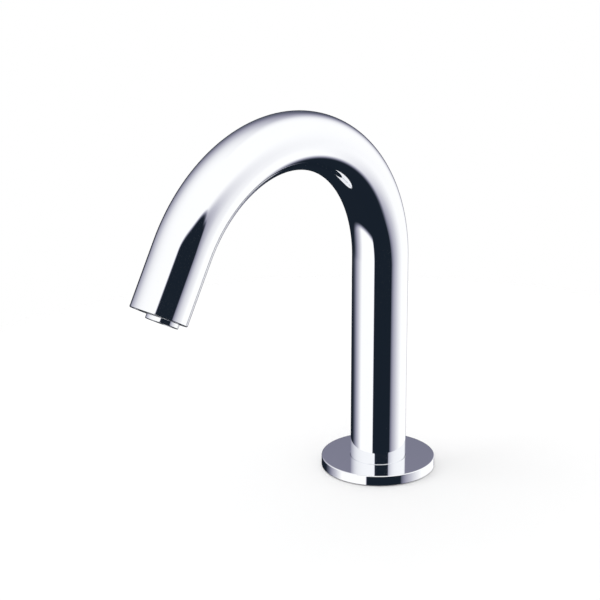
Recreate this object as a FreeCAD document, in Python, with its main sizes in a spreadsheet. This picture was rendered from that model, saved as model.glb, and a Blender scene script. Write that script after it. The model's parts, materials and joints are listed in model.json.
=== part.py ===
import FreeCAD, Part
import math
import os

import Sketcher
from FreeCAD import Placement, Rotation, Vector

# A hands-free basin tap: a gooseneck tube on a round deck flange, a threaded shank with its nut
# below the deck, a water tube and a sensor cable inside, and a nose plug in the tube's end that
# carries an infrared sensor and a screwed-in aerator.
#
# Frame, in millimetres: the origin is the centre of the face that sits on the deck, +Z runs up the
# column, and the spout reaches towards -Y. Pieces of the nose are drawn in a frame of their own,
# with its origin at the centre of the tube's end, +Z pointing out of it along the water, and +Y
# towards the outer side of the arch, where the sensor is.

doc = FreeCAD.newDocument("sensor_tap")
sheet = doc.addObject("Spreadsheet::Sheet", "sizes")
pieces = []

ORIGIN_POINT = (-1, 1)
LEVEL_AXIS = -1
UPRIGHT_AXIS = -2
START, END, CENTRE = 1, 2, 3
STRAIGHT = 1e-6


class Size:
    """A size as a number, with the expression that ties it to the sheet."""

    def __init__(self, number, text):
        self.number = number
        self.text = text

    def __add__(self, other):
        return Size(self.number + number(other), f"({self.text} + {text(other)})")

    def __sub__(self, other):
        return Size(self.number - number(other), f"({self.text} - {text(other)})")

    def __mul__(self, other):
        return Size(self.number * number(other), f"({self.text} * {text(other)})")

    def __truediv__(self, other):
        return Size(self.number / number(other), f"({self.text} / {text(other)})")

    def __neg__(self):
        return Size(-self.number, f"(-{self.text})")


def number(size):
    return size.number if isinstance(size, Size) else float(size)


def text(size):
    return size.text if isinstance(size, Size) else repr(float(size))


def sine(angle):
    return Size(math.sin(math.radians(angle.number)), f"sin({angle.text})")


def cosine(angle):
    return Size(math.cos(math.radians(angle.number)), f"cos({angle.text})")


def driving(alias, value, meaning):
    """Write one driving size to the sheet, a row for each, and give it back as a Size."""
    driving.row += 1
    sheet.set(f"A{driving.row}", alias)
    sheet.set(f"B{driving.row}", repr(value))
    sheet.set(f"C{driving.row}", meaning)
    sheet.setAlias(f"B{driving.row}", alias)
    return Size(value, f"sizes.{alias}")


driving.row = 0

# Spout tube
tube_radius = driving("tube_radius", 14.0, "outside radius of the tube")
tube_wall = driving("tube_wall", 1.5, "wall of the tube")
tube_edge = driving("tube_edge", 0.4, "rounding of the tube's open end")
column_height = driving("column_height", 112.0, "deck to the start of the arch")
arch_radius = driving("arch_radius", 74.0, "radius of the arch's centre line")
arch_sweep = driving("arch_sweep", 150.0, "angle that the arch turns through, in degrees")
tip_length = driving("tip_length", 32.0, "straight run after the arch")

# Clearances
fit_gap = driving("fit_gap", 0.03, "between pieces that are pressed, brazed or glued")
slip_gap = driving("slip_gap", 0.1, "between pieces that drop into each other")
running_gap = driving("running_gap", 0.06, "between a thread and what turns on it")
loose_gap = driving("loose_gap", 0.3, "between the shank and the rings that slide on it")

# Deck flange and its seals
flange_radius = driving("flange_radius", 28.75, "outside radius of the flange")
flange_top = driving("flange_top", 5.5, "deck to the flange's top face")
flange_lift = driving("flange_lift", 0.4, "deck to the flange's rim, which hangs clear")
flange_edge = driving("flange_edge", 0.5, "bevel of the flange's top edge")
tube_seat = driving("tube_seat", 2.5, "deck to the ledge that the tube stands on")
gasket_inset = driving("gasket_inset", 3.75, "flange's rim to the deck gasket")
gasket_gap = driving("gasket_gap", 4.0, "tube's surface to the deck gasket")
gasket_thick = driving("gasket_thick", 1.6, "thickness of the deck gasket")
seal_wire = driving("seal_wire", 0.6, "section radius of the larger O-rings")
seal_height = driving("seal_height", 4.0, "deck to the O-ring round the tube's foot")

# Shank and the clamp below the deck
spigot_step = driving("spigot_step", 0.5, "radius lost from the tube's bore to the thread")
spigot_length = driving("spigot_length", 19.5, "shank inside the tube")
shank_wall = driving("shank_wall", 2.5, "wall of the shank")
shank_length = driving("shank_length", 60.0, "deck to the shank's lower end")
shank_bevel = driving("shank_bevel", 1.0, "bevel at the end of the thread")
deck_thick = driving("deck_thick", 20.0, "deck that the clamp is closed on")
pad_width = driving("pad_width", 9.0, "thread to the outside of the clamp's rubber ring")
pad_thick = driving("pad_thick", 3.0, "thickness of the clamp's rubber ring")
washer_width = driving("washer_width", 10.0, "thread to the outside of the clamp's washer")
washer_thick = driving("washer_thick", 2.0, "thickness of the clamp's washer")
nut_wall = driving("nut_wall", 4.0, "thread to the nut's flats")
nut_height = driving("nut_height", 9.0, "height of the nut")
nut_bevel = driving("nut_bevel", 1.2, "height of the bevel on the nut's corners")

# Inlet plug in the shank's lower end
plug_depth = driving("plug_depth", 22.0, "inlet plug inside the shank")
plug_lip = driving("plug_lip", 2.0, "thickness of the inlet plug's lip")
plug_lip_inset = driving("plug_lip_inset", 1.0, "lip inside the shank's thread")
port_offset = driving("port_offset", 3.5, "shank's axis to the hose port's axis")
port_radius = driving("port_radius", 4.5, "hose port, M10 x 1, inside radius")
port_depth = driving("port_depth", 12.0, "depth of the hose port")
passage_radius = driving("passage_radius", 2.5, "waterway between port and tube")
tube_seat_depth = driving("tube_seat_depth", 8.0, "depth of the water tube's seats")
cable_web = driving("cable_web", 1.5, "wall outside the cable socket")
socket_radius = driving("socket_radius", 2.75, "outside radius of the cable socket")
socket_length = driving("socket_length", 14.0, "length of the cable socket")
socket_recess = driving("socket_recess", 2.0, "inside radius of the socket's mouth")
socket_mouth = driving("socket_mouth", 6.0, "depth of the socket's mouth")
cable_grip = driving("cable_grip", 3.0, "cable inside the socket")
contact_radius = driving("contact_radius", 0.35, "radius of a contact pin")
contact_length = driving("contact_length", 4.5, "length of a contact pin")
contact_circle = driving("contact_circle", 1.1, "radius of the circle of contact pins")

# Water tube and sensor cable
water_radius = driving("water_radius", 4.0, "outside radius of the water tube")
water_wall = driving("water_wall", 1.0, "wall of the water tube")
small_seal_wire = driving("small_seal_wire", 0.55, "section radius of the tube's O-rings")
small_seal_back = driving("small_seal_back", 3.5, "seat's mouth to its O-ring")
cable_radius = driving("cable_radius", 1.75, "radius of the sensor cable")
shift_height = driving("shift_height", 30.0, "height over which cable or water tube moves sideways")
shift_foot = driving("shift_foot", 6.0, "straight cable or water tube above the shank")

# Nose plug
nose_inset = driving("nose_inset", 0.6, "nose plug behind the tube's end")
nose_length = driving("nose_length", 20.4, "length of the nose plug")
nose_wall = driving("nose_wall", 1.3, "wall outside the aerator's socket")
nose_seal_back = driving("nose_seal_back", 2.0, "plug's inner end to its O-ring")
cup_radius = driving("cup_radius", 7.6, "aerator's socket, inside radius")
cup_depth = driving("cup_depth", 9.5, "depth of the aerator's socket")
chamber_radius = driving("chamber_radius", 3.0, "waterway into the aerator's socket")
chamber_length = driving("chamber_length", 2.5, "length of that waterway")
screw_back = driving("screw_back", 14.8, "tube's end to the grub screw")
screw_radius = driving("screw_radius", 1.5, "grub screw, M3")
screw_length = driving("screw_length", 4.2, "length of the grub screw")
screw_sink = driving("screw_sink", 0.2, "grub screw below the tube's surface")
screw_key = driving("screw_key", 0.85, "corner radius of the grub screw's hexagon")
screw_key_depth = driving("screw_key_depth", 1.6, "depth of that hexagon")

# Infrared sensor
sensor_wall = driving("sensor_wall", 1.1, "wall outside the sensor's pocket")
sensor_web = driving("sensor_web", 1.1, "wall between sensor and aerator")
sensor_depth = driving("sensor_depth", 15.9, "depth of the sensor's pocket")
window_thick = driving("window_thick", 2.0, "thickness of the sensor's window")
case_wall = driving("case_wall", 0.8, "wall of the sensor's case")
board_thick = driving("board_thick", 1.0, "thickness of the circuit board")
board_room = driving("board_room", 5.0, "window to circuit board")
eye_radius = driving("eye_radius", 1.3, "radius of an infrared diode")
eye_length = driving("eye_length", 4.4, "length of an infrared diode")
eye_spread = driving("eye_spread", 4.3, "sensor's middle to each diode")
eye_rise = driving("eye_rise", 1.5, "case's floor to a diode's axis")
baffle_thick = driving("baffle_thick", 1.0, "thickness of the plate between the diodes")
grommet_radius = driving("grommet_radius", 2.6, "cable's hole through the nose plug")
grommet_brim = driving("grommet_brim", 3.4, "outside radius of the grommet's brim")
grommet_brim_thick = driving("grommet_brim_thick", 1.0, "thickness of that brim")

# Aerator
nozzle_step = driving("nozzle_step", 0.46, "collar of the aerator outside its thread")
nozzle_stand = driving("nozzle_stand", 2.3, "collar beyond the tube's end")
nozzle_edge = driving("nozzle_edge", 0.4, "bevel of the collar's edge")
nozzle_wall = driving("nozzle_wall", 1.04, "wall of the nozzle's thread")
nozzle_lip_width = driving("nozzle_lip_width", 0.7, "width of the lip that holds the screen")
nozzle_lip_thick = driving("nozzle_lip_thick", 0.4, "thickness of that lip")
aerator_seal_width = driving("aerator_seal_width", 3.0, "width of the aerator's gasket")
aerator_seal_thick = driving("aerator_seal_thick", 1.5, "thickness of the aerator's gasket")
filter_thick = driving("filter_thick", 0.8, "thickness of the inlet filter")
regulator_thick = driving("regulator_thick", 2.0, "thickness of the flow regulator")
screen_thick = driving("screen_thick", 1.0, "thickness of the outlet screen")
insert_wall = driving("insert_wall", 0.65, "wall of the mixing insert")
insert_floor = driving("insert_floor", 1.2, "floor of the mixing insert")
filter_rim = driving("filter_rim", 1.25, "solid rim of the filter")
filter_web = driving("filter_web", 0.4, "between the filter's holes")
regulator_rim = driving("regulator_rim", 2.75, "solid rim of the regulator")
regulator_web = driving("regulator_web", 1.6, "between the regulator's holes")
insert_rim = driving("insert_rim", 1.1, "solid rim of the insert's floor")
insert_web = driving("insert_web", 1.1, "between the insert's jets")
screen_rim = driving("screen_rim", 0.9, "solid rim of the screen inside the nozzle's lip")
screen_web = driving("screen_web", 0.35, "between the screen's holes")

doc.recompute()

# Sizes that follow from the driving ones
tube_bore = tube_radius - tube_wall
spigot_radius = tube_bore - fit_gap
shank_radius = tube_bore - spigot_step
shank_bore = shank_radius - shank_wall
gasket_outer = flange_radius - gasket_inset
gasket_inner = tube_radius + gasket_gap
pad_radius = shank_radius + pad_width
washer_radius = shank_radius + washer_width
nut_flats = (shank_radius + nut_wall) * 2
clamp_top = -deck_thick
washer_top = clamp_top - pad_thick
nut_top = washer_top - washer_thick
plug_top = plug_depth - shank_length
water_foot = plug_top - tube_seat_depth
plug_foot = -(shank_length + plug_lip)
cable_low = shank_bore - cable_web - socket_radius

nose_radius = tube_bore - slip_gap
nose_face = -nose_inset
nose_back = nose_face - nose_length
water_offset = nose_radius - nose_wall - cup_radius
cup_floor = nose_face - cup_depth
water_end = cup_floor - chamber_length
pocket_radius = nose_radius - sensor_wall
pocket_chord = cup_radius - water_offset + sensor_web
pocket_floor = nose_face - sensor_depth
window_back = nose_face - window_thick
case_radius = pocket_radius - slip_gap
case_chord = pocket_chord + slip_gap
inner_radius = case_radius - case_wall
inner_chord = case_chord + case_wall
board_front = window_back - board_room
board_back = board_front - board_thick
cable_high = inner_chord + cable_radius + slip_gap
thread_radius = cup_radius - running_gap
nozzle_radius = thread_radius + nozzle_step
nozzle_bore = thread_radius - nozzle_wall
nozzle_lip = nozzle_bore - nozzle_lip_width
insert_radius = nozzle_bore - slip_gap / 2
aerator_seal_radius = cup_radius - slip_gap
gasket_top = cup_floor + aerator_seal_thick
screen_top = nozzle_stand - nozzle_lip_thick


def new_body(name):
    """Start a sub-part. Its label names its file."""
    body = doc.addObject("PartDesign::Body", name)
    body.Label = name
    body.AllowCompound = True
    pieces.append(body)
    doc.recompute()
    return body


def new_sketch(body, name, role, offset=0.0):
    """A sketch on one of the body's own origin planes, moved along the plane's normal."""
    sketch = body.newObject("Sketcher::SketchObject", f"{body.Label}_{name}")
    plane = next(f for f in body.Origin.OriginFeatures if f.Role == role)
    sketch.AttachmentSupport = [(plane, "")]
    sketch.MapMode = "FlatFace"
    sketch.setExpression("AttachmentOffset.Base.z", text(offset))
    return sketch


def tie(sketch, kind, where, size):
    """Add a constraint whose value follows the size's expression."""
    index = sketch.addConstraint(Sketcher.Constraint(kind, *where, number(size)))
    sketch.setExpression(f"Constraints[{index}]", text(size))


def tie_point(sketch, edge, end, across, up):
    """Hold one end or the centre of an edge at a place in the sketch."""
    for kind, axis, size in (("DistanceX", UPRIGHT_AXIS, across), ("DistanceY", LEVEL_AXIS, up)):
        if number(size) == 0:
            sketch.addConstraint(Sketcher.Constraint("PointOnObject", edge, end, axis))
        else:
            tie(sketch, kind, (*ORIGIN_POINT, edge, end), size)


def join(sketch, edge, end, other, other_end):
    sketch.addConstraint(Sketcher.Constraint("Coincident", edge, end, other, other_end))


def flat_point(across, up):
    return Vector(number(across), number(up), 0)


def outline(sketch, corners):
    """A closed outline of straight edges through the corners."""
    after = corners[1:] + corners[:1]
    edges = [
        sketch.addGeometry(Part.LineSegment(flat_point(*a), flat_point(*b)))
        for a, b in zip(corners, after)
    ]
    for edge, following, corner in zip(edges, edges[1:] + edges[:1], corners):
        join(sketch, edge, END, following, START)
        tie_point(sketch, edge, START, *corner)


def rectangle(sketch, left, right, low, high):
    outline(sketch, [(left, low), (right, low), (right, high), (left, high)])


def circle(sketch, radius, across=0.0, up=0.0):
    """A circle, centred on the sketch's origin unless it says otherwise."""
    shape = Part.Circle(flat_point(across, up), Vector(0, 0, 1), number(radius))
    edge = sketch.addGeometry(shape)
    tie_point(sketch, edge, CENTRE, across, up)
    tie(sketch, "Radius", (edge,), radius)


def hexagon(sketch, corner_radius):
    """A regular hexagon about the sketch's origin, with two corners level with it."""
    turns = [math.radians(60 * i) for i in range(6)]
    corners = [(corner_radius * math.cos(a), corner_radius * math.sin(a)) for a in turns]
    outline(sketch, corners)


def d_outline(sketch, radius, chord):
    """The part of a circle that lies above a level chord."""
    rise = math.asin(number(chord) / number(radius))
    ends = [Vector(number(radius) * math.cos(a), number(chord), 0) for a in (rise, math.pi - rise)]
    whole = Part.Circle(Vector(0, 0, 0), Vector(0, 0, 1), number(radius))
    arc = sketch.addGeometry(Part.ArcOfCircle(whole, rise, math.pi - rise))
    line = sketch.addGeometry(Part.LineSegment(ends[1], ends[0]))
    join(sketch, arc, CENTRE, *ORIGIN_POINT)
    join(sketch, arc, END, line, START)
    join(sketch, arc, START, line, END)
    sketch.addConstraint(Sketcher.Constraint("Horizontal", line))
    tie(sketch, "Radius", (arc,), radius)
    tie(sketch, "DistanceY", (*ORIGIN_POINT, line, START), chord)


def d_shape(radius, chord):
    """What draws such an outline, for a pad or a cut."""
    return lambda sketch: d_outline(sketch, radius, chord)


def route(sketch, start, steps):
    """A path of straight runs and arcs. Each step is its end and, for an arc, its centre."""
    here, before = start, None
    length = 0.0
    for end, centre in steps:
        a, b = flat_point(*here), flat_point(*end)
        if centre is None:
            edge = sketch.addGeometry(Part.LineSegment(a, b))
            ends = (START, END)
            length += (b - a).Length
        else:
            middle = flat_point(*centre)
            turn = (a - middle).cross(b - middle).z
            anticlockwise = turn > -1e-6
            first, last = (a, b) if anticlockwise else (b, a)
            angles = [math.atan2(p.y - middle.y, p.x - middle.x) for p in (first, last)]
            sweep = (angles[1] - angles[0]) % (2 * math.pi)
            whole = Part.Circle(middle, Vector(0, 0, 1), (a - middle).Length)
            arc = Part.ArcOfCircle(whole, angles[0], angles[0] + sweep)
            edge = sketch.addGeometry(arc)
            ends = (START, END) if anticlockwise else (END, START)
            tie(sketch, "DistanceY", (*ORIGIN_POINT, edge, CENTRE), centre[1])
            length += sweep * (a - middle).Length
        if before is None:
            tie_point(sketch, edge, ends[0], *here)
        else:
            join(sketch, *before, edge, ends[0])
        tie_point(sketch, edge, ends[1], *end)
        here, before = end, (edge, ends[1])
    return length


def settle(body, feature):
    """Make the feature the body's result and work the document out again."""
    body.Tip = feature
    doc.recompute()
    if not feature.isValid() or feature.Shape.isNull():
        raise RuntimeError(f"{feature.Label} failed: {feature.State}")
    return feature


def settle_cut(body, feature):
    """The same for a feature that has to take something away."""
    before = body.Shape.Volume
    settle(body, feature)
    if body.Shape.Volume > before * (1 - 1e-7):
        raise RuntimeError(f"{feature.Label} cuts nothing")
    return feature


def turned(name, corners):
    """A sub-part turned about its own Z, from an outline of radius and height."""
    body = new_body(name)
    sketch = new_sketch(body, "profile", "XZ_Plane")
    outline(sketch, corners)
    feature = body.newObject("PartDesign::Revolution", f"{name}_turned")
    feature.Profile = sketch
    feature.ReferenceAxis = (sketch, ["V_Axis"])
    feature.Angle = 360
    settle(body, feature)
    return body


def ring(name, inner, outer, low, high):
    """A flat ring, or a disc where the inner radius is 0."""
    return turned(name, [(inner, low), (outer, low), (outer, high), (inner, high)])


def groove(body, name, corners):
    """Turn a groove into the sub-part, about its own Z."""
    sketch = new_sketch(body, name, "XZ_Plane")
    outline(sketch, corners)
    feature = body.newObject("PartDesign::Groove", f"{body.Label}_{name}_cut")
    feature.Profile = sketch
    feature.ReferenceAxis = (sketch, ["V_Axis"])
    feature.Angle = 360
    return settle_cut(body, feature)


def pad(body, name, draw, low, high, role="XY_Plane"):
    """Raise the outline that draw makes, from one height to another."""
    sketch = new_sketch(body, name, role, low)
    draw(sketch)
    feature = body.newObject("PartDesign::Pad", f"{body.Label}_{name}_pad")
    feature.Profile = sketch
    feature.setExpression("Length", text(high - low))
    return settle(body, feature)


def padded(name, draw, low, high, role="XY_Plane"):
    body = new_body(name)
    pad(body, "profile", draw, low, high, role)
    return body


def cut(body, name, draw, top, depth, role="XY_Plane"):
    """Cut the outline that draw makes, from a height downwards."""
    sketch = new_sketch(body, name, role, top)
    draw(sketch)
    feature = body.newObject("PartDesign::Pocket", f"{body.Label}_{name}_pocket")
    feature.Profile = sketch
    feature.setExpression("Length", text(depth))
    return settle_cut(body, feature)


def drill(body, name, radius, across, up, top, depth):
    return cut(body, name, lambda sketch: circle(sketch, radius, across, up), top, depth)


def repeat_round(body, feature, count):
    """Repeat a feature in even steps about the sub-part's own Z."""
    pattern = body.newObject("PartDesign::PolarPattern", f"{feature.Label}_round")
    pattern.Originals = [feature]
    pattern.Axis = (feature.Profile[0], ["N_Axis"])
    pattern.Angle = 360
    pattern.Occurrences = count
    return settle_cut(body, pattern)


def soften(body, name, kind, size, wanted):
    """Fillet or chamfer the edges that wanted picks from the sub-part's shape."""
    base = body.Tip
    names = [f"Edge{i}" for i, edge in enumerate(base.Shape.Edges, 1) if wanted(edge)]
    feature = body.newObject(f"PartDesign::{kind}", f"{body.Label}_{name}")
    feature.Base = (base, names)
    feature.setExpression("Radius" if kind == "Fillet" else "Size", text(size))
    return settle_cut(body, feature)


def o_ring(name, radius, wire):
    """A rubber ring of round section, about its own Z."""
    torus = doc.addObject("Part::Torus", name)
    torus.Label = name
    torus.setExpression("Radius1", text(radius))
    torus.setExpression("Radius2", text(wire))
    pieces.append(torus)
    return torus


def place(piece, across, height=0.0, side=0.0, tilt=0.0):
    """Put a piece at X = side, Y = across and Z = height, tilted about the X direction."""
    if number(tilt):
        piece.Placement = Placement(Vector(0, 0, 0), Rotation(Vector(1, 0, 0), number(tilt)))
        piece.setExpression("Placement.Rotation.Angle", text(tilt))
    piece.setExpression("Placement.Base.x", text(side))
    piece.setExpression("Placement.Base.y", text(across))
    piece.setExpression("Placement.Base.z", text(height))
    return piece


def to_nose(piece, across=0.0, out=0.0, side=0.0, tilt=0.0):
    """Put a piece, drawn in the nose's own frame, at the end of the tube."""
    run, rise = sine(arch_sweep), cosine(arch_sweep)
    reach = arch_radius * (rise - 1) - tip_length * run + rise * across - run * out
    height = column_height + arch_radius * run + tip_length * rise + run * across + rise * out
    return place(piece, reach, height, side, arch_sweep + tilt)


def arch_steps(offset, last_run):
    """The steps of the gooseneck from the column's foot, for a path beside the tube's axis."""
    centre = (-arch_radius, column_height)
    radius = arch_radius + offset
    arch_end = (
        radius * cosine(arch_sweep) - arch_radius,
        radius * sine(arch_sweep) + column_height,
    )
    tip = (
        arch_end[0] - last_run * sine(arch_sweep),
        arch_end[1] + last_run * cosine(arch_sweep),
    )
    return [((offset, column_height), None), (arch_end, centre), (tip, None)]


def shift_steps(low, high):
    """The steps of a gentle S above the shank, from one distance beside the tube's axis to another."""
    shift = high - low
    if abs(number(shift)) < STRAIGHT:
        return []
    foot = tube_seat + spigot_length + shift_foot
    top = foot + shift_height
    radius = (shift_height * shift_height + shift * shift) / (shift * 4)
    middle = ((low + high) / 2, (foot + top) / 2)
    return [
        ((low, foot), None),
        (middle, (low + radius, foot)),
        ((high, top), (high - radius, top)),
    ]


def swept(name, radii, start, steps):
    """A round bar, or a tube where there are two radii, along a path in the plane X = 0."""
    body = new_body(name)
    section = new_sketch(body, "section", "XY_Plane", start[1])
    for radius in radii:
        circle(section, radius, 0.0, start[0])
    path = new_sketch(body, "path", "YZ_Plane")
    length = route(path, start, steps)
    feature = body.newObject("PartDesign::AdditivePipe", f"{name}_swept")
    feature.Profile = section
    feature.Spine = path
    settle(body, feature)
    areas = [math.pi * number(radius) ** 2 for radius in radii]
    expected = (areas[0] - sum(areas[1:])) * length
    if abs(body.Shape.Volume / expected - 1) > 1e-4:
        raise RuntimeError(f"{name}: volume {body.Shape.Volume:.1f}, not {expected:.1f}")
    return body


def cross_hole(body, radius, length):
    """A round hole that is still to be placed, for an axis across the sub-part's own Z."""
    hole = body.newObject("PartDesign::SubtractiveCylinder", f"{body.Label}_cross_hole")
    hole.setExpression("Radius", text(radius))
    hole.setExpression("Height", text(length))
    return hole


def seat_for(body, name, radius, wire, across, height):
    """The room that an O-ring needs round a water tube, cut as a short wide bore."""
    half = wire + fit_gap
    drill(body, name, radius + half, 0.0, across, height + half, half * 2)


def perforate(body, reach, web, circles, top, depth):
    """Circles of small holes that reach out to a radius, with a web between the circles.

    Circle 1 has six holes, circle 2 twelve, and so on.
    """
    pitch = (reach + web / 2) / (circles[-1] + 0.5)
    hole_radius = (pitch - web) / 2
    for circle_number in circles:
        radius = pitch * circle_number
        hole = drill(body, f"hole_{circle_number}", hole_radius, radius, 0.0, top, depth)
        repeat_round(body, hole, 6 * circle_number)


def make_spout_tube():
    """The gooseneck, with the grub screw's hole through the inner side of its tip."""
    run = arch_steps(0.0, tip_length)
    body = swept("spout_tube", [tube_radius, tube_bore], (0.0, tube_seat), run)
    open_end = number(run[-1][0][0])

    def outer_edge_of_end(edge):
        return abs(edge.CenterOfMass.y - open_end) < 1e-3 and edge.Length > 6.28 * number(tube_bore)

    soften(body, "edge", "Fillet", tube_edge, outer_edge_of_end)
    hole = cross_hole(body, screw_radius + slip_gap, tube_radius + slip_gap)
    to_nose(hole, out=-screw_back, tilt=90.0)
    settle_cut(body, hole)


def make_base_flange():
    """The flange, its gasket on the deck and the O-ring that it holds round the tube."""
    hole = shank_radius + slip_gap
    bore = tube_radius + slip_gap / 2
    rim = [
        (flange_radius, flange_lift),
        (flange_radius, flange_top - flange_edge),
        (flange_radius - flange_edge, flange_top),
    ]
    inside = [(bore, flange_top), (bore, tube_seat), (hole, tube_seat), (hole, flange_lift)]
    body = turned("base_flange", rim + inside)
    inner, outer = gasket_inner - slip_gap, gasket_outer + slip_gap
    recess = [(inner, flange_lift), (outer, flange_lift), (outer, gasket_thick), (inner, gasket_thick)]
    groove(body, "gasket_recess", recess)
    ring("base_gasket", gasket_inner, gasket_outer, 0.0, gasket_thick)

    half = seal_wire + fit_gap
    low, high = seal_height - half, seal_height + half
    back = tube_radius + half * 2
    groove(body, "seal_groove", [(tube_radius, low), (back, low), (back, high), (tube_radius, high)])
    place(o_ring("flange_o_ring", tube_radius + half, seal_wire), 0.0, seal_height)


def make_shank():
    """The threaded shank, whose spigot is brazed into the tube's foot."""
    top = tube_seat + spigot_length
    corners = [
        (shank_bore, -shank_length),
        (shank_radius - shank_bevel, -shank_length),
        (shank_radius, shank_bevel - shank_length),
        (shank_radius, tube_seat),
        (spigot_radius, tube_seat),
        (spigot_radius, top),
        (shank_bore, top),
    ]
    turned("shank", corners)


def make_clamp():
    """What holds the tap to the deck from below: a rubber ring, a washer and a nut."""
    ring("clamp_gasket", shank_radius + loose_gap, pad_radius, washer_top, clamp_top)
    ring("clamp_washer", shank_radius + loose_gap, washer_radius, nut_top, washer_top)

    foot = nut_top - nut_height
    corner = nut_flats / math.sqrt(3)
    nut = padded("mounting_nut", lambda sketch: hexagon(sketch, corner), foot, nut_top)
    drill(nut, "thread", shank_radius + running_gap, 0.0, 0.0, nut_top, nut_height)
    inside, outside = nut_flats / 2, corner + slip_gap
    groove(nut, "lower_bevel", [(inside, foot), (outside, foot), (outside, foot + nut_bevel)])
    groove(nut, "upper_bevel", [(inside, nut_top), (outside, nut_top), (outside, nut_top - nut_bevel)])


def make_inlet():
    """The plug in the shank's end, with the hose port and the sensor's cable socket."""
    radius, lip = shank_bore - fit_gap, shank_radius - plug_lip_inset
    lower = [(0.0, plug_foot), (lip, plug_foot), (lip, -shank_length), (radius, -shank_length)]
    plug = turned("inlet_plug", lower + [(radius, plug_top), (0.0, plug_top)])
    port_top = plug_foot + port_depth
    drill(plug, "port", port_radius, 0.0, -port_offset, port_top, port_depth)
    drill(plug, "passage", passage_radius, 0.0, -port_offset, water_foot, water_foot - port_top)
    drill(plug, "tube_seat", water_radius + fit_gap, 0.0, -port_offset, plug_top, tube_seat_depth)
    seal_at = plug_top - small_seal_back
    seal_radius = water_radius + small_seal_wire + fit_gap
    seat_for(plug, "seal_seat", seal_radius, small_seal_wire, -port_offset, seal_at)
    place(o_ring("inlet_tube_seal", seal_radius, small_seal_wire), -port_offset, seal_at)

    socket_top = plug_foot + socket_length
    socket_floor = plug_foot + socket_mouth
    cable_hole = cable_radius + slip_gap
    drill(plug, "cable_hole", cable_hole, 0.0, cable_low, plug_top, plug_top - socket_top)
    drill(plug, "socket_hole", socket_radius + fit_gap, 0.0, cable_low, socket_top, socket_length)

    mouth = [(0.0, socket_floor), (socket_recess, socket_floor), (socket_recess, plug_foot)]
    outside = [(socket_radius, plug_foot), (socket_radius, socket_top), (0.0, socket_top)]
    socket = turned("cable_socket", mouth + outside)
    drill(socket, "cable_grip", cable_radius + fit_gap, 0.0, 0.0, socket_top, cable_grip)
    place(socket, cable_low)

    def contacts(sketch):
        for turn in (0, 120, 240):
            angle = math.radians(turn)
            circle(
                sketch,
                contact_radius,
                contact_circle * math.sin(angle),
                contact_circle * math.cos(angle),
            )

    place(padded("socket_pins", contacts, socket_floor - contact_length, socket_floor), cable_low)


def make_water_tube():
    """The tube that carries the water from the inlet plug to the nose plug."""
    steps = shift_steps(-port_offset, -water_offset)
    steps += arch_steps(-water_offset, tip_length + water_end)
    swept("water_tube", [water_radius, water_radius - water_wall], (-port_offset, water_foot), steps)


def make_sensor_cable():
    """The cable, which leaves the socket, clears the shank and then moves out to the sensor."""
    foot = plug_foot + socket_length - cable_grip
    steps = shift_steps(cable_low, cable_high)
    steps += arch_steps(cable_high, tip_length + board_back)
    swept("sensor_cable", [cable_radius], (cable_low, foot), steps)


def make_nose_plug():
    """The plug in the tube's end, which carries the aerator and the sensor."""
    body = ring("nose_plug", 0.0, nose_radius, nose_back, nose_face)
    half = seal_wire + fit_gap
    seal_at = nose_back + nose_seal_back
    low, high, floor = seal_at - half, seal_at + half, tube_bore - half * 2
    groove(body, "seal_groove", [(floor, low), (tube_bore, low), (tube_bore, high), (floor, high)])
    drill(body, "cup", cup_radius, 0.0, -water_offset, nose_face, cup_depth)
    drill(body, "chamber", chamber_radius, 0.0, -water_offset, cup_floor, chamber_length)
    tube_room = water_end - nose_back
    drill(body, "tube_seat", water_radius + fit_gap, 0.0, -water_offset, water_end, tube_room)
    tube_seal_at = nose_back + small_seal_back
    tube_seal = water_radius + small_seal_wire + fit_gap
    seat_for(body, "tube_seal_seat", tube_seal, small_seal_wire, -water_offset, tube_seal_at)
    cut(body, "sensor_pocket", d_shape(pocket_radius, pocket_chord), nose_face, sensor_depth)
    drill(body, "cable_hole", grommet_radius, 0.0, cable_high, pocket_floor, pocket_floor - nose_back)
    screw_top = tube_radius - screw_sink
    screw_foot = screw_top - screw_length
    hole = cross_hole(body, screw_radius + fit_gap, nose_radius)
    place(hole, slip_gap - screw_foot, -screw_back, tilt=90.0)
    settle_cut(body, hole)
    to_nose(body)

    to_nose(o_ring("nose_o_ring", tube_bore - half, seal_wire), out=seal_at)
    to_nose(o_ring("nose_tube_seal", tube_seal, small_seal_wire), -water_offset, tube_seal_at)
    screw = ring("nose_screw", 0.0, screw_radius, screw_foot, screw_top)
    cut(screw, "key", lambda sketch: hexagon(sketch, screw_key), screw_top, screw_key_depth)
    to_nose(screw, out=-screw_back, tilt=90.0)


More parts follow.
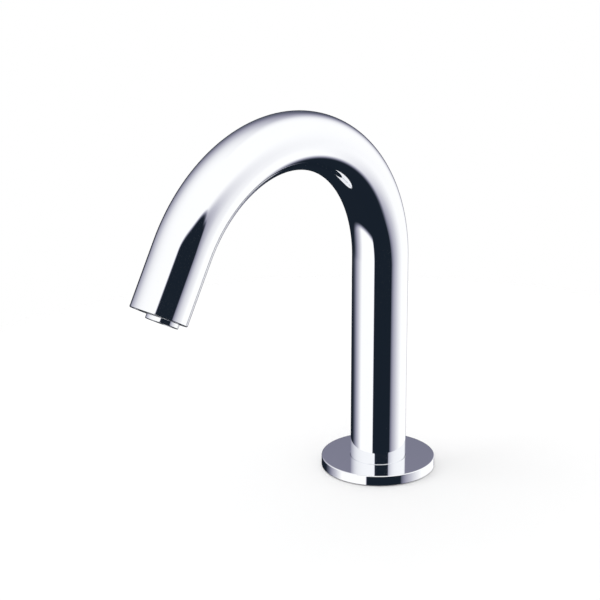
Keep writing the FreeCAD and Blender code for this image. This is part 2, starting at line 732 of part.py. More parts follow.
def make_sensor():
    """The infrared sensor: a D-shaped case in its pocket, closed by a dark window."""
    window = d_shape(pocket_radius - fit_gap, pocket_chord + fit_gap)
    to_nose(padded("sensor_window", window, window_back, nose_face))

    case_floor = pocket_floor + case_wall
    case = padded("sensor_case", d_shape(case_radius, case_chord), pocket_floor, window_back)
    room = window_back - case_floor
    cut(case, "room", d_shape(inner_radius, inner_chord), window_back, room)
    cable_hole = cable_radius + fit_gap
    drill(case, "cable_hole", cable_hole, 0.0, cable_high, case_floor, case_wall)
    to_nose(case)

    fill = d_shape(inner_radius - fit_gap, inner_chord + fit_gap)
    resin = padded("sensor_resin", fill, case_floor, board_back)
    drill(resin, "cable_hole", cable_hole, 0.0, cable_high, board_back, board_back - case_floor)
    to_nose(resin)

    board = d_shape(inner_radius - slip_gap, inner_chord + slip_gap)
    to_nose(padded("sensor_board", board, board_back, board_front))

    for name, side in (("infrared_emitter", -eye_spread), ("infrared_receiver", eye_spread)):
        eye_top = board_front + eye_length
        eye = ring(name, 0.0, eye_radius, board_front, eye_top)
        dome = eye_radius - fit_gap
        soften(eye, "dome", "Fillet", dome, lambda edge: edge.BoundBox.ZMin > number(eye_top) - 1e-4)
        to_nose(eye, inner_chord + eye_rise, side=side)

    def plate(sketch):
        half = baffle_thick / 2
        rectangle(sketch, -half, half, inner_chord + slip_gap, inner_radius - slip_gap)

    to_nose(padded("light_baffle", plate, board_front, window_back - fit_gap))

    bore, sleeve = cable_radius + fit_gap, grommet_radius - fit_gap
    brim_back = nose_back - grommet_brim_thick
    brim = [(bore, brim_back), (grommet_brim, brim_back), (grommet_brim, nose_back)]
    inner_end = [(sleeve, nose_back), (sleeve, pocket_floor), (bore, pocket_floor)]
    to_nose(turned("cable_grommet", brim + inner_end), cable_high)


def make_aerator():
    """The nozzle that screws into the nose plug, and the stack of discs that it holds."""
    screwed = [
        (nozzle_bore, gasket_top),
        (thread_radius, gasket_top),
        (thread_radius, nose_face),
    ]
    collar = [
        (nozzle_radius, nose_face),
        (nozzle_radius, nozzle_stand - nozzle_edge),
        (nozzle_radius - nozzle_edge, nozzle_stand),
        (nozzle_lip, nozzle_stand),
        (nozzle_lip, screen_top),
        (nozzle_bore, screen_top),
    ]
    nozzle = turned("aerator_nozzle", screwed + collar)
    seal_bore = aerator_seal_radius - aerator_seal_width
    gasket = ring("aerator_gasket", seal_bore, aerator_seal_radius, cup_floor, gasket_top)

    filter_top = gasket_top + filter_thick
    inlet_filter = ring("aerator_filter", 0.0, insert_radius, gasket_top, filter_top)
    filter_reach = insert_radius - filter_rim
    perforate(inlet_filter, filter_reach, filter_web, (1, 2, 3, 4), filter_top, filter_thick)

    regulator_top = filter_top + regulator_thick
    regulator = ring("flow_regulator", 0.0, insert_radius, filter_top, regulator_top)
    regulator_reach = insert_radius - regulator_rim
    perforate(regulator, regulator_reach, regulator_web, (1,), regulator_top, regulator_thick)

    screen_foot = screen_top - screen_thick
    floor_top = regulator_top + insert_floor
    insert = ring("aerator_insert", 0.0, insert_radius, regulator_top, screen_foot)
    insert_bore = insert_radius - insert_wall
    drill(insert, "room", insert_bore, 0.0, 0.0, screen_foot, screen_foot - floor_top)
    perforate(insert, insert_bore - insert_rim, insert_web, (2,), floor_top, insert_floor)

    screen = ring("aerator_screen", 0.0, insert_radius, screen_foot, screen_top)
    screen_reach = nozzle_lip - screen_rim
    perforate(screen, screen_reach, screen_web, (1, 2, 3), screen_top, screen_thick)
    for piece in (nozzle, gasket, inlet_filter, regulator, insert, screen):
        to_nose(piece, -water_offset)


make_spout_tube()
make_base_flange()
make_shank()
make_clamp()
make_inlet()
make_water_tube()
make_sensor_cable()
make_nose_plug()
make_sensor()
make_aerator()
doc.recompute()

for thing in doc.Objects:
    if {"Invalid", "Error"} & set(thing.State):
        raise RuntimeError(f"{thing.Label}: {thing.State}")
os.makedirs("parts", exist_ok=True)
for piece in pieces:
    if piece.Shape.isNull() or not piece.Shape.isValid() or not piece.Shape.Solids:
        raise RuntimeError(f"{piece.Label} has no sound shape")
for piece in pieces:
    piece.Shape.exportStep(f"parts/{piece.Label}.step")
    print(f"{piece.Label}: {len(piece.Shape.Solids)} solids, {piece.Shape.Volume:.1f} mm3")
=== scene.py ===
"""Looks of a hands-free basin tap: a chromed gooseneck on a round deck flange.

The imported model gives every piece's place. The pieces that show are made again here with rounded
edges, cut threads and a moulded screen, and every piece gets its finish. All sizes are in
millimetres and become metres when a mesh is built. The origin is the centre of the face on the
deck, +Z runs up the column and the spout reaches towards -Y. The pieces at the spout's end are
drawn in the nose's own frame, whose +Z runs out of the tube with the water.
"""

import json
import logging
import math
from collections.abc import Callable, Sequence
from dataclasses import asdict, dataclass, field
from enum import Enum

import bmesh
import bpy
from bpy.types import Material, Mesh, Node, NodeSocket, NodeTree, Object
from mathutils import Matrix, Vector


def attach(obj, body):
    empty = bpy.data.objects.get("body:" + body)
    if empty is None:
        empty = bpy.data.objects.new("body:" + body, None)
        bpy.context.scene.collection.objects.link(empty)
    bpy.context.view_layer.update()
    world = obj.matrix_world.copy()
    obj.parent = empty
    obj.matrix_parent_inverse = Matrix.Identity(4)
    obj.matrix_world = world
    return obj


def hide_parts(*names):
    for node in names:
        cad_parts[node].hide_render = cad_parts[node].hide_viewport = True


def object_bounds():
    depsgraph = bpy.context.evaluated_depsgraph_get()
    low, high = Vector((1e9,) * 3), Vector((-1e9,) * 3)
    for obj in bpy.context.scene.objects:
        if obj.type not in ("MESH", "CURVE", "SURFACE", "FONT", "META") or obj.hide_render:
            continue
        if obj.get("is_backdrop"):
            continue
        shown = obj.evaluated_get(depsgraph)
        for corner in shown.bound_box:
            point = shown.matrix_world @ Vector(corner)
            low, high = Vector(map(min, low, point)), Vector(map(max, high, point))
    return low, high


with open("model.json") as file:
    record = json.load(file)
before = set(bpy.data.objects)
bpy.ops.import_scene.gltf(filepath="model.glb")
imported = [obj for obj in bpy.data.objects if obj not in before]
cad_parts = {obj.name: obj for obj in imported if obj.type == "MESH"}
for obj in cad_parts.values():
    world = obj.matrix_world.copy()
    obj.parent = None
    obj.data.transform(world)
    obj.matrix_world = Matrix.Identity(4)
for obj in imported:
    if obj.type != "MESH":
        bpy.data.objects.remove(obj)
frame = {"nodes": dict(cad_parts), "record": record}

LOG = logging.getLogger("tap")
MM = 0.001
WELD_MM = 0.002
CREASE = math.radians(30)
TURN = 2 * math.pi

Point = tuple[float, float]
Corner = tuple[float, float, float]
Colour = tuple[float, float, float]
Value = float | int | bool | tuple | Material
Feed = NodeSocket | Value


def linear(colour: Colour) -> tuple[float, float, float, float]:
    """Turn a colour as a screen shows it into the one that light is worked out in.

    Args:
        colour: Red, green and blue, from 0 to 255.

    Returns:
        The linear colour with an alpha of 1.
    """
    shares = [c / 255 for c in colour]
    parts = [s / 12.92 if s <= 0.04045 else ((s + 0.055) / 1.055) ** 2.4 for s in shares]
    return (parts[0], parts[1], parts[2], 1.0)


class Graph:
    """A node tree that is built by calls that read like sums."""

    def __init__(self, tree: NodeTree) -> None:
        """Start on an empty tree."""
        self.tree = tree
        tree.nodes.clear()

    def node(self, kind: str, feeds: dict[str | int, Feed] | None = None, **settings) -> Node:
        """Add a node.

        Args:
            kind: The node's type.
            feeds: What each input takes, a value or another node's output.
            **settings: Properties of the node.

        Returns:
            The new node.
        """
        made = self.tree.nodes.new(kind)
        for name, value in settings.items():
            setattr(made, name, value)
        for key, value in (feeds or {}).items():
            self.feed(made.inputs[key], value)
        return made

    def feed(self, socket: NodeSocket, value: Feed) -> None:
        """Link an output to the socket, or set the socket's own value."""
        if isinstance(value, NodeSocket):
            self.tree.links.new(value, socket)
        else:
            socket.default_value = value

    def math(self, operation: str, *values: Feed) -> NodeSocket:
        """Work out one step with a Math node."""
        return self.node("ShaderNodeMath", dict(enumerate(values)), operation=operation).outputs[0]

    def ramp(self, value: Feed, low: Feed, high: Feed, kind: str = "SMOOTHSTEP") -> NodeSocket:
        """Rise from 0 to 1 as the value goes from low to high."""
        feeds = {"Value": value, "From Min": low, "From Max": high}
        return self.node("ShaderNodeMapRange", feeds, interpolation_type=kind).outputs["Result"]

    def blend(self, share: Feed, first: Feed, second: Feed) -> NodeSocket:
        """Mix two numbers, the second by the share."""
        made = self.node("ShaderNodeMix", {0: share, 2: first, 3: second}, data_type="FLOAT")
        return made.outputs[0]

    def blend_colour(self, share: Feed, first: Feed, second: Feed) -> NodeSocket:
        """Mix two colours, the second by the share."""
        made = self.node("ShaderNodeMix", {0: share, 6: first, 7: second}, data_type="RGBA")
        return made.outputs[2]

    def past(self, bearing: Feed, middle: Feed) -> NodeSocket:
        """Give how far a bearing lies past another, from -180 to 180 degrees."""
        return self.math("WRAP", self.math("SUBTRACT", bearing, middle), 180.0, -180.0)

    def here(self) -> NodeSocket:
        """Give the place on the piece, in metres."""
        return self.node("ShaderNodeTexCoord").outputs["Object"]

    def point(self) -> NodeSocket:
        """Give the place of each point of a mesh that is being made."""
        return self.node("GeometryNodeInputPosition").outputs[0]

    def parts(self, vector: Feed) -> list[NodeSocket]:
        """Split a vector into its three numbers."""
        return list(self.node("ShaderNodeSeparateXYZ", {0: vector}).outputs)

    def length(self, vector: Feed) -> NodeSocket:
        """Give a vector's length."""
        return self.node("ShaderNodeVectorMath", {0: vector}, operation="LENGTH").outputs["Value"]

    def noise(self, place: Feed, fineness: Feed, detail: float, rough: float = 0.5) -> NodeSocket:
        """Give a cloudy noise, from 0 to 1."""
        feeds = {"Vector": place, "Scale": fineness, "Detail": detail, "Roughness": rough}
        return self.node("ShaderNodeTexNoise", feeds).outputs[0]

    def cells(self, place: Feed, fineness: Feed, spread: float) -> NodeSocket:
        """Give how far a place is from the edge of its cell in a pattern of cells."""
        feeds = {"Vector": place, "Scale": fineness, "Randomness": spread}
        return self.node("ShaderNodeTexVoronoi", feeds, feature="DISTANCE_TO_EDGE").outputs[0]

    def placed(self, group: NodeTree, feeds: dict[str | int, Feed]) -> Node:
        """Put a shared group into the tree."""
        return self.node("ShaderNodeGroup", feeds, node_tree=group)

    def given(self) -> dict[str, NodeSocket]:
        """Give a group's own inputs by their names."""
        return {socket.name: socket for socket in self.node("NodeGroupInput").outputs}

    def put_out(self, feeds: dict[str | int, Feed]) -> "Graph":
        """End a group in its outputs."""
        self.node("NodeGroupOutput", feeds)
        return self


SPECIAL_SOCKETS = {"Colour": "Color", "Geometry": "Geometry", "Finish": "Material"}
VALUE_SOCKETS = {float: "Float", int: "Int", tuple: "Color"}


def new_group(name: str, inputs: dict[str, Value | None], outputs: Sequence[str]) -> Graph:
    """Make a node group with named sockets. One that puts out geometry is a Geometry Nodes tree.

    Args:
        name: The group's name.
        inputs: Each input's name and first value. None is for geometry and for a finish.
        outputs: The outputs' names.

    Returns:
        The group's graph, without nodes.
    """
    kind = "GeometryNodeTree" if "Geometry" in outputs else "ShaderNodeTree"
    tree = bpy.data.node_groups.new(name, kind)
    for socket, value in inputs.items():
        shape = SPECIAL_SOCKETS[socket] if value is None else VALUE_SOCKETS[type(value)]
        made = tree.interface.new_socket(socket, in_out="INPUT", socket_type=f"NodeSocket{shape}")
        if value is not None:
            made.default_value = value
    for socket in outputs:
        shape = SPECIAL_SOCKETS.get(socket, "Float")
        tree.interface.new_socket(socket, in_out="OUTPUT", socket_type=f"NodeSocket{shape}")
    return Graph(tree)


def named(sizes: "Thread | Patch") -> dict[str, float]:
    """Name a dataclass's values as the inputs of its group are named."""
    return {name.replace("_", " ").capitalize(): value for name, value in asdict(sizes).items()}


# ---------------------------------------------------------------- effects that finishes share


@dataclass
class Effects:
    """The shader groups that several finishes share, and the numbers that shape them."""

    wipe_stretch: Corner = (1.0, 1.0, 0.35)
    wipe_rise: Point = (0.48, 0.78)
    drops_finer: float = 2.6
    drop_rim: Point = (0.05, 0.0)
    drop_share: float = 0.35
    wave_share: float = 0.5
    hollow_rise: Point = (0.58, 0.36)
    wander_fineness: float = 240.0
    streak_fineness: float = 0.37
    deep_rise: Point = (0.3, 0.7)
    dull_rise: Point = (0.45, 0.75)
    cloud_rise: Point = (0.38, 0.68)

    def __post_init__(self) -> None:
        """Build the groups, each once."""
        self.haze = self.make_haze()
        self.grain = self.make_grain()
        self.turning = self.make_turning()
        self.blotches = self.make_blotches()

    def make_haze(self) -> NodeTree:
        """Build the faint wipe marks and dried drops that make a polished surface uneven.

        Returns:
            A group that puts out a roughness.
        """
        graph = new_group("wiped_haze", {"Clean": 0.03, "Hazy": 0.08, "Fineness": 60.0}, ["Roughness"])
        given, place = graph.given(), graph.here()
        stretched = graph.node("ShaderNodeMapping", {"Vector": place, "Scale": self.wipe_stretch})
        wipes = graph.noise(stretched.outputs[0], given["Fineness"], detail=4.0, rough=0.6)
        fineness = graph.math("MULTIPLY", given["Fineness"], self.drops_finer)
        drops = graph.cells(place, fineness, spread=1.0)
        marks = graph.ramp(wipes, *self.wipe_rise)
        rings = graph.math("MULTIPLY", graph.ramp(drops, *self.drop_rim), self.drop_share)
        share = graph.math("MINIMUM", graph.math("ADD", marks, rings), 1.0)
        return graph.put_out({"Roughness": graph.blend(share, given["Clean"], given["Hazy"])}).tree

    def make_grain(self) -> NodeTree:
        """Build the fine grain of a moulded surface.

        Returns:
            A group that puts out a height for a bump and a mask of its hollows.
        """
        graph = new_group("moulded_grain", {"Fineness": 900.0, "Waves": 80.0}, ["Height", "Hollows"])
        given, place = graph.given(), graph.here()
        fine = graph.noise(place, given["Fineness"], detail=3.0, rough=0.65)
        waves = graph.noise(place, given["Waves"], detail=2.0)
        height = graph.math("MULTIPLY_ADD", waves, self.wave_share, fine)
        return graph.put_out({"Height": height, "Hollows": graph.ramp(fine, *self.hollow_rise)}).tree

    def make_turning(self) -> NodeTree:
        """Build the fine rings that a lathe tool leaves round the column's axis.

        Returns:
            A group that puts out a height for a bump and a mask of the duller rings.
        """
        graph = new_group("lathe_marks", {"Pitch": 0.00025, "Wander": 0.2}, ["Height", "Rings"])
        given, place = graph.given(), graph.here()
        across, along, up = graph.parts(place)
        flat = graph.node("ShaderNodeCombineXYZ", {0: across, 1: along}).outputs[0]
        steps = graph.math("DIVIDE", graph.math("ADD", graph.length(flat), up), given["Pitch"])
        wander = graph.noise(place, self.wander_fineness, detail=2.0)
        ring = graph.math("MULTIPLY_ADD", wander, given["Wander"], steps)
        wave = graph.math("SINE", graph.math("MULTIPLY", ring, TURN))
        feeds = {"W": ring, "Scale": self.streak_fineness, "Detail": 2.0}
        streaks = graph.node("ShaderNodeTexNoise", feeds, noise_dimensions="1D").outputs[0]
        height = graph.math("MULTIPLY", wave, graph.ramp(streaks, *self.deep_rise))
        return graph.put_out({"Height": height, "Rings": graph.ramp(streaks, *self.dull_rise)}).tree

    def make_blotches(self) -> NodeTree:
        """Build a slow drift between two colours, as of tarnish, bloom or dust.

        Returns:
            A group that puts out a colour.
        """
        light, dark = (0.5, 0.5, 0.5, 1.0), (0.4, 0.4, 0.4, 1.0)
        inputs = {"Plain": light, "Other": dark, "Fineness": 70.0, "Share": 0.5}
        graph = new_group("blotches", inputs, ["Colour"])
        given = graph.given()
        cloud = graph.noise(graph.here(), given["Fineness"], detail=5.0, rough=0.62)
        mask = graph.math("MULTIPLY", graph.ramp(cloud, *self.cloud_rise), given["Share"])
        return graph.put_out({"Colour": graph.blend_colour(mask, given["Plain"], given["Other"])}).tree


class Slot(Enum):
    """The record's material slots."""

    CHROME = "chrome"
    BRASS = "brass"
    STEEL = "steel"
    RUBBER = "black_rubber"
    PLUG = "plug_plastic"
    BLACK = "sensor_black"
    WINDOW = "dark_window"
    RESIN = "resin"
    BOARD = "circuit_board"
    CLEAR_DIODE = "clear_diode"
    DARK_DIODE = "dark_diode"
    NATURAL = "natural_plastic"
    WHITE = "white_plastic"
    SCREEN = "screen_grey"
    CABLE = "cable_jacket"
    CONTACT = "contact"


class Body(Enum):
    """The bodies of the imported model."""

    TAP = "tap"
    RINGS = "clamp_rings"
    NUT = "nut"
    CORE = "aerator_core"
    NOZZLE = "nozzle"


@dataclass(frozen=True)
class Finish:
    """What every finish has: its slot, its two colours and the shader's own plain values."""

    slot: Slot
    plain: Colour
    other: Colour
    cloud_fineness: float = 70.0
    cloud_share: float = 0.5
    values: dict[str, Value] = field(default_factory=dict)

    def make(self, effects: Effects) -> Material:
        """Make the material.

        Args:
            effects: The shared groups.

        Returns:
            The material.
        """
        material = bpy.data.materials.new(f"{self.slot.value}_finish")
        material.use_nodes = True
        graph = Graph(material.node_tree)
        shader = graph.node("ShaderNodeBsdfPrincipled", self.values)
        graph.node("ShaderNodeOutputMaterial", {"Surface": shader.outputs[0]})
        clouds = {
            "Plain": (*self.plain, 1.0),
            "Other": (*self.other, 1.0),
            "Fineness": self.cloud_fineness,
            "Share": self.cloud_share,
        }
        colour = graph.placed(effects.blotches, clouds).outputs["Colour"]
        graph.feed(shader.inputs["Base Color"], colour)
        self.dress(graph, shader, effects)
        return material

    def dress(self, graph: Graph, shader: Node, effects: Effects) -> None:
        """Give the surface its roughness and relief, each kind of finish in its own way."""
        raise NotImplementedError


def relief(graph: Graph, shader: Node, height: Feed, strength: float, depth: float) -> None:
    """Raise a surface by a bump, whose depth is in metres."""
    feeds = {"Strength": strength, "Distance": depth, "Height": height}
    graph.feed(shader.inputs["Normal"], graph.node("ShaderNodeBump", feeds).outputs[0])


def dull(graph: Graph, shader: Node, mask: Feed, smooth: float, rough: float) -> None:
    """Make a surface smooth where a mask is 0 and rough where it is 1."""
    graph.feed(shader.inputs["Roughness"], graph.blend(mask, smooth, rough))


@dataclass(frozen=True)
class Polished(Finish):
    """A polished surface with faint wipe marks, such as chrome, a lens or a clear window."""

    clean: float = 0.03
    hazy: float = 0.05

    def dress(self, graph: Graph, shader: Node, effects: Effects) -> None:
        """Let the roughness drift between clean and hazy."""
        haze = graph.placed(effects.haze, {"Clean": self.clean, "Hazy": self.hazy})
        graph.feed(shader.inputs["Roughness"], haze.outputs["Roughness"])


@dataclass(frozen=True)
class Turned(Finish):
    """Metal as it comes from the lathe, with fine rings."""

    smooth: float = 0.2
    rough: float = 0.36
    strength: float = 0.25
    depth: float = 0.00001

    def dress(self, graph: Graph, shader: Node, effects: Effects) -> None:
        """Cut the rings in and dull some of them."""
        rings = graph.placed(effects.turning, {}).outputs
        dull(graph, shader, rings["Rings"], self.smooth, self.rough)
        relief(graph, shader, rings["Height"], self.strength, self.depth)


@dataclass(frozen=True)
class Moulded(Finish):
    """Plastic, rubber or resin with the grain of its mould."""

    smooth: float = 0.4
    rough: float = 0.6
    strength: float = 0.3
    depth: float = 0.00003
    grain_fineness: float = 2500.0

    def dress(self, graph: Graph, shader: Node, effects: Effects) -> None:
        """Raise the grain, with its hollows duller than its tops."""
        grain = graph.placed(effects.grain, {"Fineness": self.grain_fineness}).outputs
        dull(graph, shader, grain["Hollows"], self.smooth, self.rough)
        relief(graph, shader, grain["Height"], self.strength, self.depth)


@dataclass(frozen=True)
class SolderMask(Finish):
    """Solder mask over copper tracks, which stand a little proud and show paler."""

    track_colour: Colour = (0.05, 0.30, 0.12)
    track_fineness: float = 700.0
    track_spread: float = 0.6
    track_edge: Point = (0.14, 0.08)
    board_rough: float = 0.35
    track_rough: float = 0.22
    strength: float = 0.4
    depth: float = 0.00004

    def dress(self, graph: Graph, shader: Node, effects: Effects) -> None:
        """Lay the tracks over the board's colour."""
        cells = graph.cells(graph.here(), self.track_fineness, self.track_spread)
        tracks = graph.ramp(cells, *self.track_edge)
        board = shader.inputs["Base Color"].links[0].from_socket
        colour = graph.blend_colour(tracks, board, (*self.track_colour, 1.0))
        graph.feed(shader.inputs["Base Color"], colour)
        dull(graph, shader, tracks, self.board_rough, self.track_rough)
        relief(graph, shader, tracks, self.strength, self.depth)


METAL = {"Metallic": 1.0}
LENS = {"Coat Weight": 0.6, "Coat Roughness": 0.03, "IOR": 1.58}
CLEAR = {"Transmission Weight": 0.85, "IOR": 1.53}
MILKY = {"Subsurface Weight": 0.2, "Subsurface Scale": 0.002}
FINISHES = (
    Polished(Slot.CHROME, (0.92, 0.93, 0.95), (0.91, 0.92, 0.94), values=METAL),
    Turned(Slot.BRASS, (0.80, 0.61, 0.33), (0.62, 0.45, 0.23), 90.0, 0.6, METAL),
    Turned(Slot.STEEL, (0.62, 0.63, 0.64), (0.52, 0.53, 0.54), 160.0, 0.5, METAL, 0.26, 0.42, 0.3),
    Moulded(Slot.RUBBER, (0.026, 0.026, 0.028), (0.055, 0.055, 0.055), 120.0, 0.5, smooth=0.5, rough=0.72),
    Moulded(Slot.PLUG, (0.085, 0.09, 0.095), (0.11, 0.113, 0.118), 300.0, 0.4, smooth=0.38, rough=0.55),
    Moulded(Slot.BLACK, (0.024, 0.024, 0.027), (0.036, 0.036, 0.038), 200.0, 0.4, smooth=0.36, rough=0.52),
    Polished(Slot.WINDOW, (0.030, 0.008, 0.012), (0.022, 0.006, 0.010), values=LENS, clean=0.05, hazy=0.12),
    Moulded(Slot.RESIN, (0.058, 0.058, 0.063), (0.075, 0.075, 0.08), 250.0, 0.6, smooth=0.12, rough=0.22),
    SolderMask(Slot.BOARD, (0.028, 0.19, 0.075), (0.022, 0.15, 0.06), 500.0, 0.5),
    Polished(Slot.CLEAR_DIODE, (0.80, 0.86, 0.95), (0.74, 0.80, 0.90), values=CLEAR, clean=0.06, hazy=0.12),
    Polished(Slot.DARK_DIODE, (0.05, 0.028, 0.058), (0.04, 0.02, 0.045), values=LENS, clean=0.06, hazy=0.12),
    Moulded(Slot.NATURAL, (0.82, 0.82, 0.77), (0.74, 0.74, 0.69), 110.0, 0.5, MILKY, 0.25, 0.38, 0.15),
    Moulded(Slot.WHITE, (0.80, 0.81, 0.82), (0.72, 0.73, 0.74), 260.0, 0.5, smooth=0.3, rough=0.45),
    Moulded(Slot.SCREEN, (0.42, 0.44, 0.46), (0.34, 0.36, 0.37), 320.0, 0.6, smooth=0.26, rough=0.4),
    Moulded(Slot.CABLE, (0.066, 0.066, 0.071), (0.09, 0.09, 0.092), 140.0, 0.4, smooth=0.42, rough=0.58),
    Turned(Slot.CONTACT, (0.83, 0.66, 0.30), (0.74, 0.57, 0.26), 400.0, 0.4, METAL, 0.16, 0.26, 0.1),
)


# ---------------------------------------------------------------- shapes


@dataclass
class Shape:
    """Points in millimetres and the faces between them."""

    points: list[Corner] = field(default_factory=list)
    faces: list[tuple[int, ...]] = field(default_factory=list)

    def add(self, other: "Shape") -> None:
        """Take in another shape's points and faces."""
        start = len(self.points)
        self.points.extend(other.points)
        self.faces.extend(tuple(start + i for i in face) for face in other.faces)

    def mesh(self, name: str, unit: float = 1.0, place: Matrix | None = None) -> Mesh:
        """Make a closed, outward mesh of the shape.

        Args:
            name: The mesh's name.
            unit: How long one of the shape's units is in the mesh.
            place: Where it goes.

        Returns:
            The mesh, with its doubles merged, its sharp edges marked and the rest smooth.
        """
        made = bpy.data.meshes.new(name)
        made.from_pydata(self.points, [], self.faces)
        if place is not None:
            made.transform(place)
        work = bmesh.new()
        work.from_mesh(made)
        bmesh.ops.remove_doubles(work, verts=work.verts, dist=WELD_MM)
        bmesh.ops.recalc_face_normals(work, faces=work.faces)
        for edge in work.edges:
            edge.smooth = len(edge.link_faces) != 2 or edge.calc_face_angle(0.0) < CREASE
        for face in work.faces:
            face.smooth = True
        bmesh.ops.scale(work, vec=(unit, unit, unit), verts=work.verts)
        work.to_mesh(made)
        work.free()
        return made


def shape_of(mesh: Mesh) -> Shape:
    """Read a mesh back as a shape."""
    return Shape([tuple(v.co) for v in mesh.vertices], [tuple(p.vertices) for p in mesh.polygons])


def spaced(low: float, high: float, count: int) -> list[float]:
    """Give count + 1 even steps from low to high."""
    return [low + (high - low) * i / count for i in range(count + 1)]


def rounded(corners: Sequence[Corner], steps: int = 4) -> list[Point]:
    """Round the corners of a section.

    Args:
        corners: The radius, the height and the rounding of each corner, in order.
        steps: How many steps a rounding takes.

    Returns:
        The section's points, with one close beside each rounding so that flats shade flat.
    """
    guard = 0.04
    made = []
    for i, (radius, height, size) in enumerate(corners):
        if size <= 0:
            made.append((radius, height))
            continue
        here = Vector((radius, height))
        back = (Vector(corners[i - 1][:2]) - here).normalized()
        ahead = (Vector(corners[(i + 1) % len(corners)][:2]) - here).normalized()
        half = back.angle(ahead) / 2
        reach = size / math.tan(half)
        centre = here + (back + ahead).normalized() * (size / math.sin(half))
        start = here + back * reach - centre
        end = here + ahead * reach - centre
        first = math.atan2(start.y, start.x)
        sweep = (math.atan2(end.y, end.x) - first + math.pi) % TURN - math.pi
        made.append(tuple(here + back * (reach + guard)))
        for angle in spaced(first, first + sweep, steps):
            made.append((centre.x + size * math.cos(angle), centre.y + size * math.sin(angle)))
        made.append(tuple(here + ahead * (reach + guard)))
    return made


def joined_rings(rings: Sequence[Sequence[Corner]], closed: bool) -> Shape:
    """Join rings of points, which all have as many points, by faces.

    Args:
        rings: The rings, in order.
        closed: Whether the last is joined to the first.

    Returns:
        The shape.
    """
    count = len(rings[0])
    shape = Shape([point for ring_points in rings for point in ring_points])
    for row in range(len(rings) if closed else len(rings) - 1):
        low, high = row * count, (row + 1) % len(rings) * count
        for k in range(count):
            after = (k + 1) % count
            shape.faces.append((low + k, low + after, high + after, high + k))
    return shape


def lathe(section: Sequence[Point], segments: int, closed: bool = True) -> Shape:
    """Turn a section of radii and heights, which may be a closed loop, round the upright axis."""
    ways = [(math.cos(TURN * k / segments), math.sin(TURN * k / segments)) for k in range(segments)]
    return joined_rings([[(r * c, r * s, height) for c, s in ways] for r, height in section], closed)


def flat_ring(inner: float, outer: float, low: float, high: float, edges: Sequence[float]) -> list[Corner]:
    """Give a flat ring's corners: lower inner, lower outer, upper outer and upper inner."""
    places = ((inner, low), (outer, low), (outer, high), (inner, high))
    return [(radius, height, edge) for (radius, height), edge in zip(places, edges)]


def held(name: str, mesh: Mesh) -> Object:
    """Put a mesh into the scene on an object of its own."""
    made = bpy.data.objects.new(name, mesh)
    bpy.context.scene.collection.objects.link(made)
    return made


def evaluated(holder: Object) -> Mesh:
    """Take what an object's modifiers make as a plain mesh, and remove the object.

    Args:
        holder: The object.

    Returns:
        The mesh.
    """
    depsgraph = bpy.context.evaluated_depsgraph_get()
    made = bpy.data.meshes.new_from_object(holder.evaluated_get(depsgraph), depsgraph=depsgraph)
    bpy.data.objects.remove(holder)
    return made


def grown(graph: Graph, values: dict[str, Value], base: Mesh | None = None) -> Mesh:
    """Run a Geometry Nodes tree and take the plain mesh that it makes.

    Args:
        graph: The tree.
        values: What its named inputs take.
        base: The mesh that it starts from, where it starts from one.

    Returns:
        The mesh.
    """
    name = graph.tree.name
    holder = held(name, base or bpy.data.meshes.new(name))
    modifier = holder.modifiers.new(name, "NODES")
    modifier.node_group = graph.tree
    for item in graph.tree.interface.items_tree:
        if item.in_out == "INPUT" and item.name in values:
            modifier[item.identifier] = values[item.name]
    return evaluated(holder)


def cut(mesh: Mesh, cutter: Mesh) -> Mesh:
    """Cut one mesh out of another.

    Args:
        mesh: What is cut.
        cutter: What is taken away.

    Returns:
        The mesh that is left.
    """
    tool = held("cutter", cutter)
    holder = held("stock", mesh)
    modifier = holder.modifiers.new("cut", "BOOLEAN")
    modifier.operation = "DIFFERENCE"
    modifier.solver = "EXACT"
    modifier.object = tool
    made = evaluated(holder)
    bpy.data.objects.remove(tool)
    return made


# ---------------------------------------------------------------- Geometry Nodes trees, in millimetres

FLANK = (0.1, 0.4)  # where a thread's flank starts and ends, in pitches from the middle of its root
HEX_ROW = math.sqrt(0.75)  # how far apart the rows of a lattice of triangles lie, in pitches
HEX_REACH = 1.65  # how far the slanted lattice has to reach to cover the plate, in radii


@dataclass(frozen=True)
class Thread:
    """A thread's two radii, its pitch and the heights of its ends."""

    crest: float
    root: float
    pitch: float
    low: float
    high: float


def end_tree(graph: Graph, geometry: Feed, finish: Feed) -> Graph:
    """End a tree in Realize Instances and Set Material, and return it."""
    real = graph.node("GeometryNodeRealizeInstances", {0: geometry}).outputs[0]
    dressed = graph.node("GeometryNodeSetMaterial", {"Geometry": real, "Material": finish})
    return graph.put_out({0: dressed.outputs[0]})


def moved(graph: Graph, geometry: Feed, across: Feed, along: Feed, up: Feed) -> NodeSocket:
    """Move every point of a geometry to a worked-out place, and return the geometry."""
    place = graph.node("ShaderNodeCombineXYZ", {0: across, 1: along, 2: up}).outputs[0]
    return graph.node("GeometryNodeSetPosition", {"Geometry": geometry, "Position": place}).outputs[0]


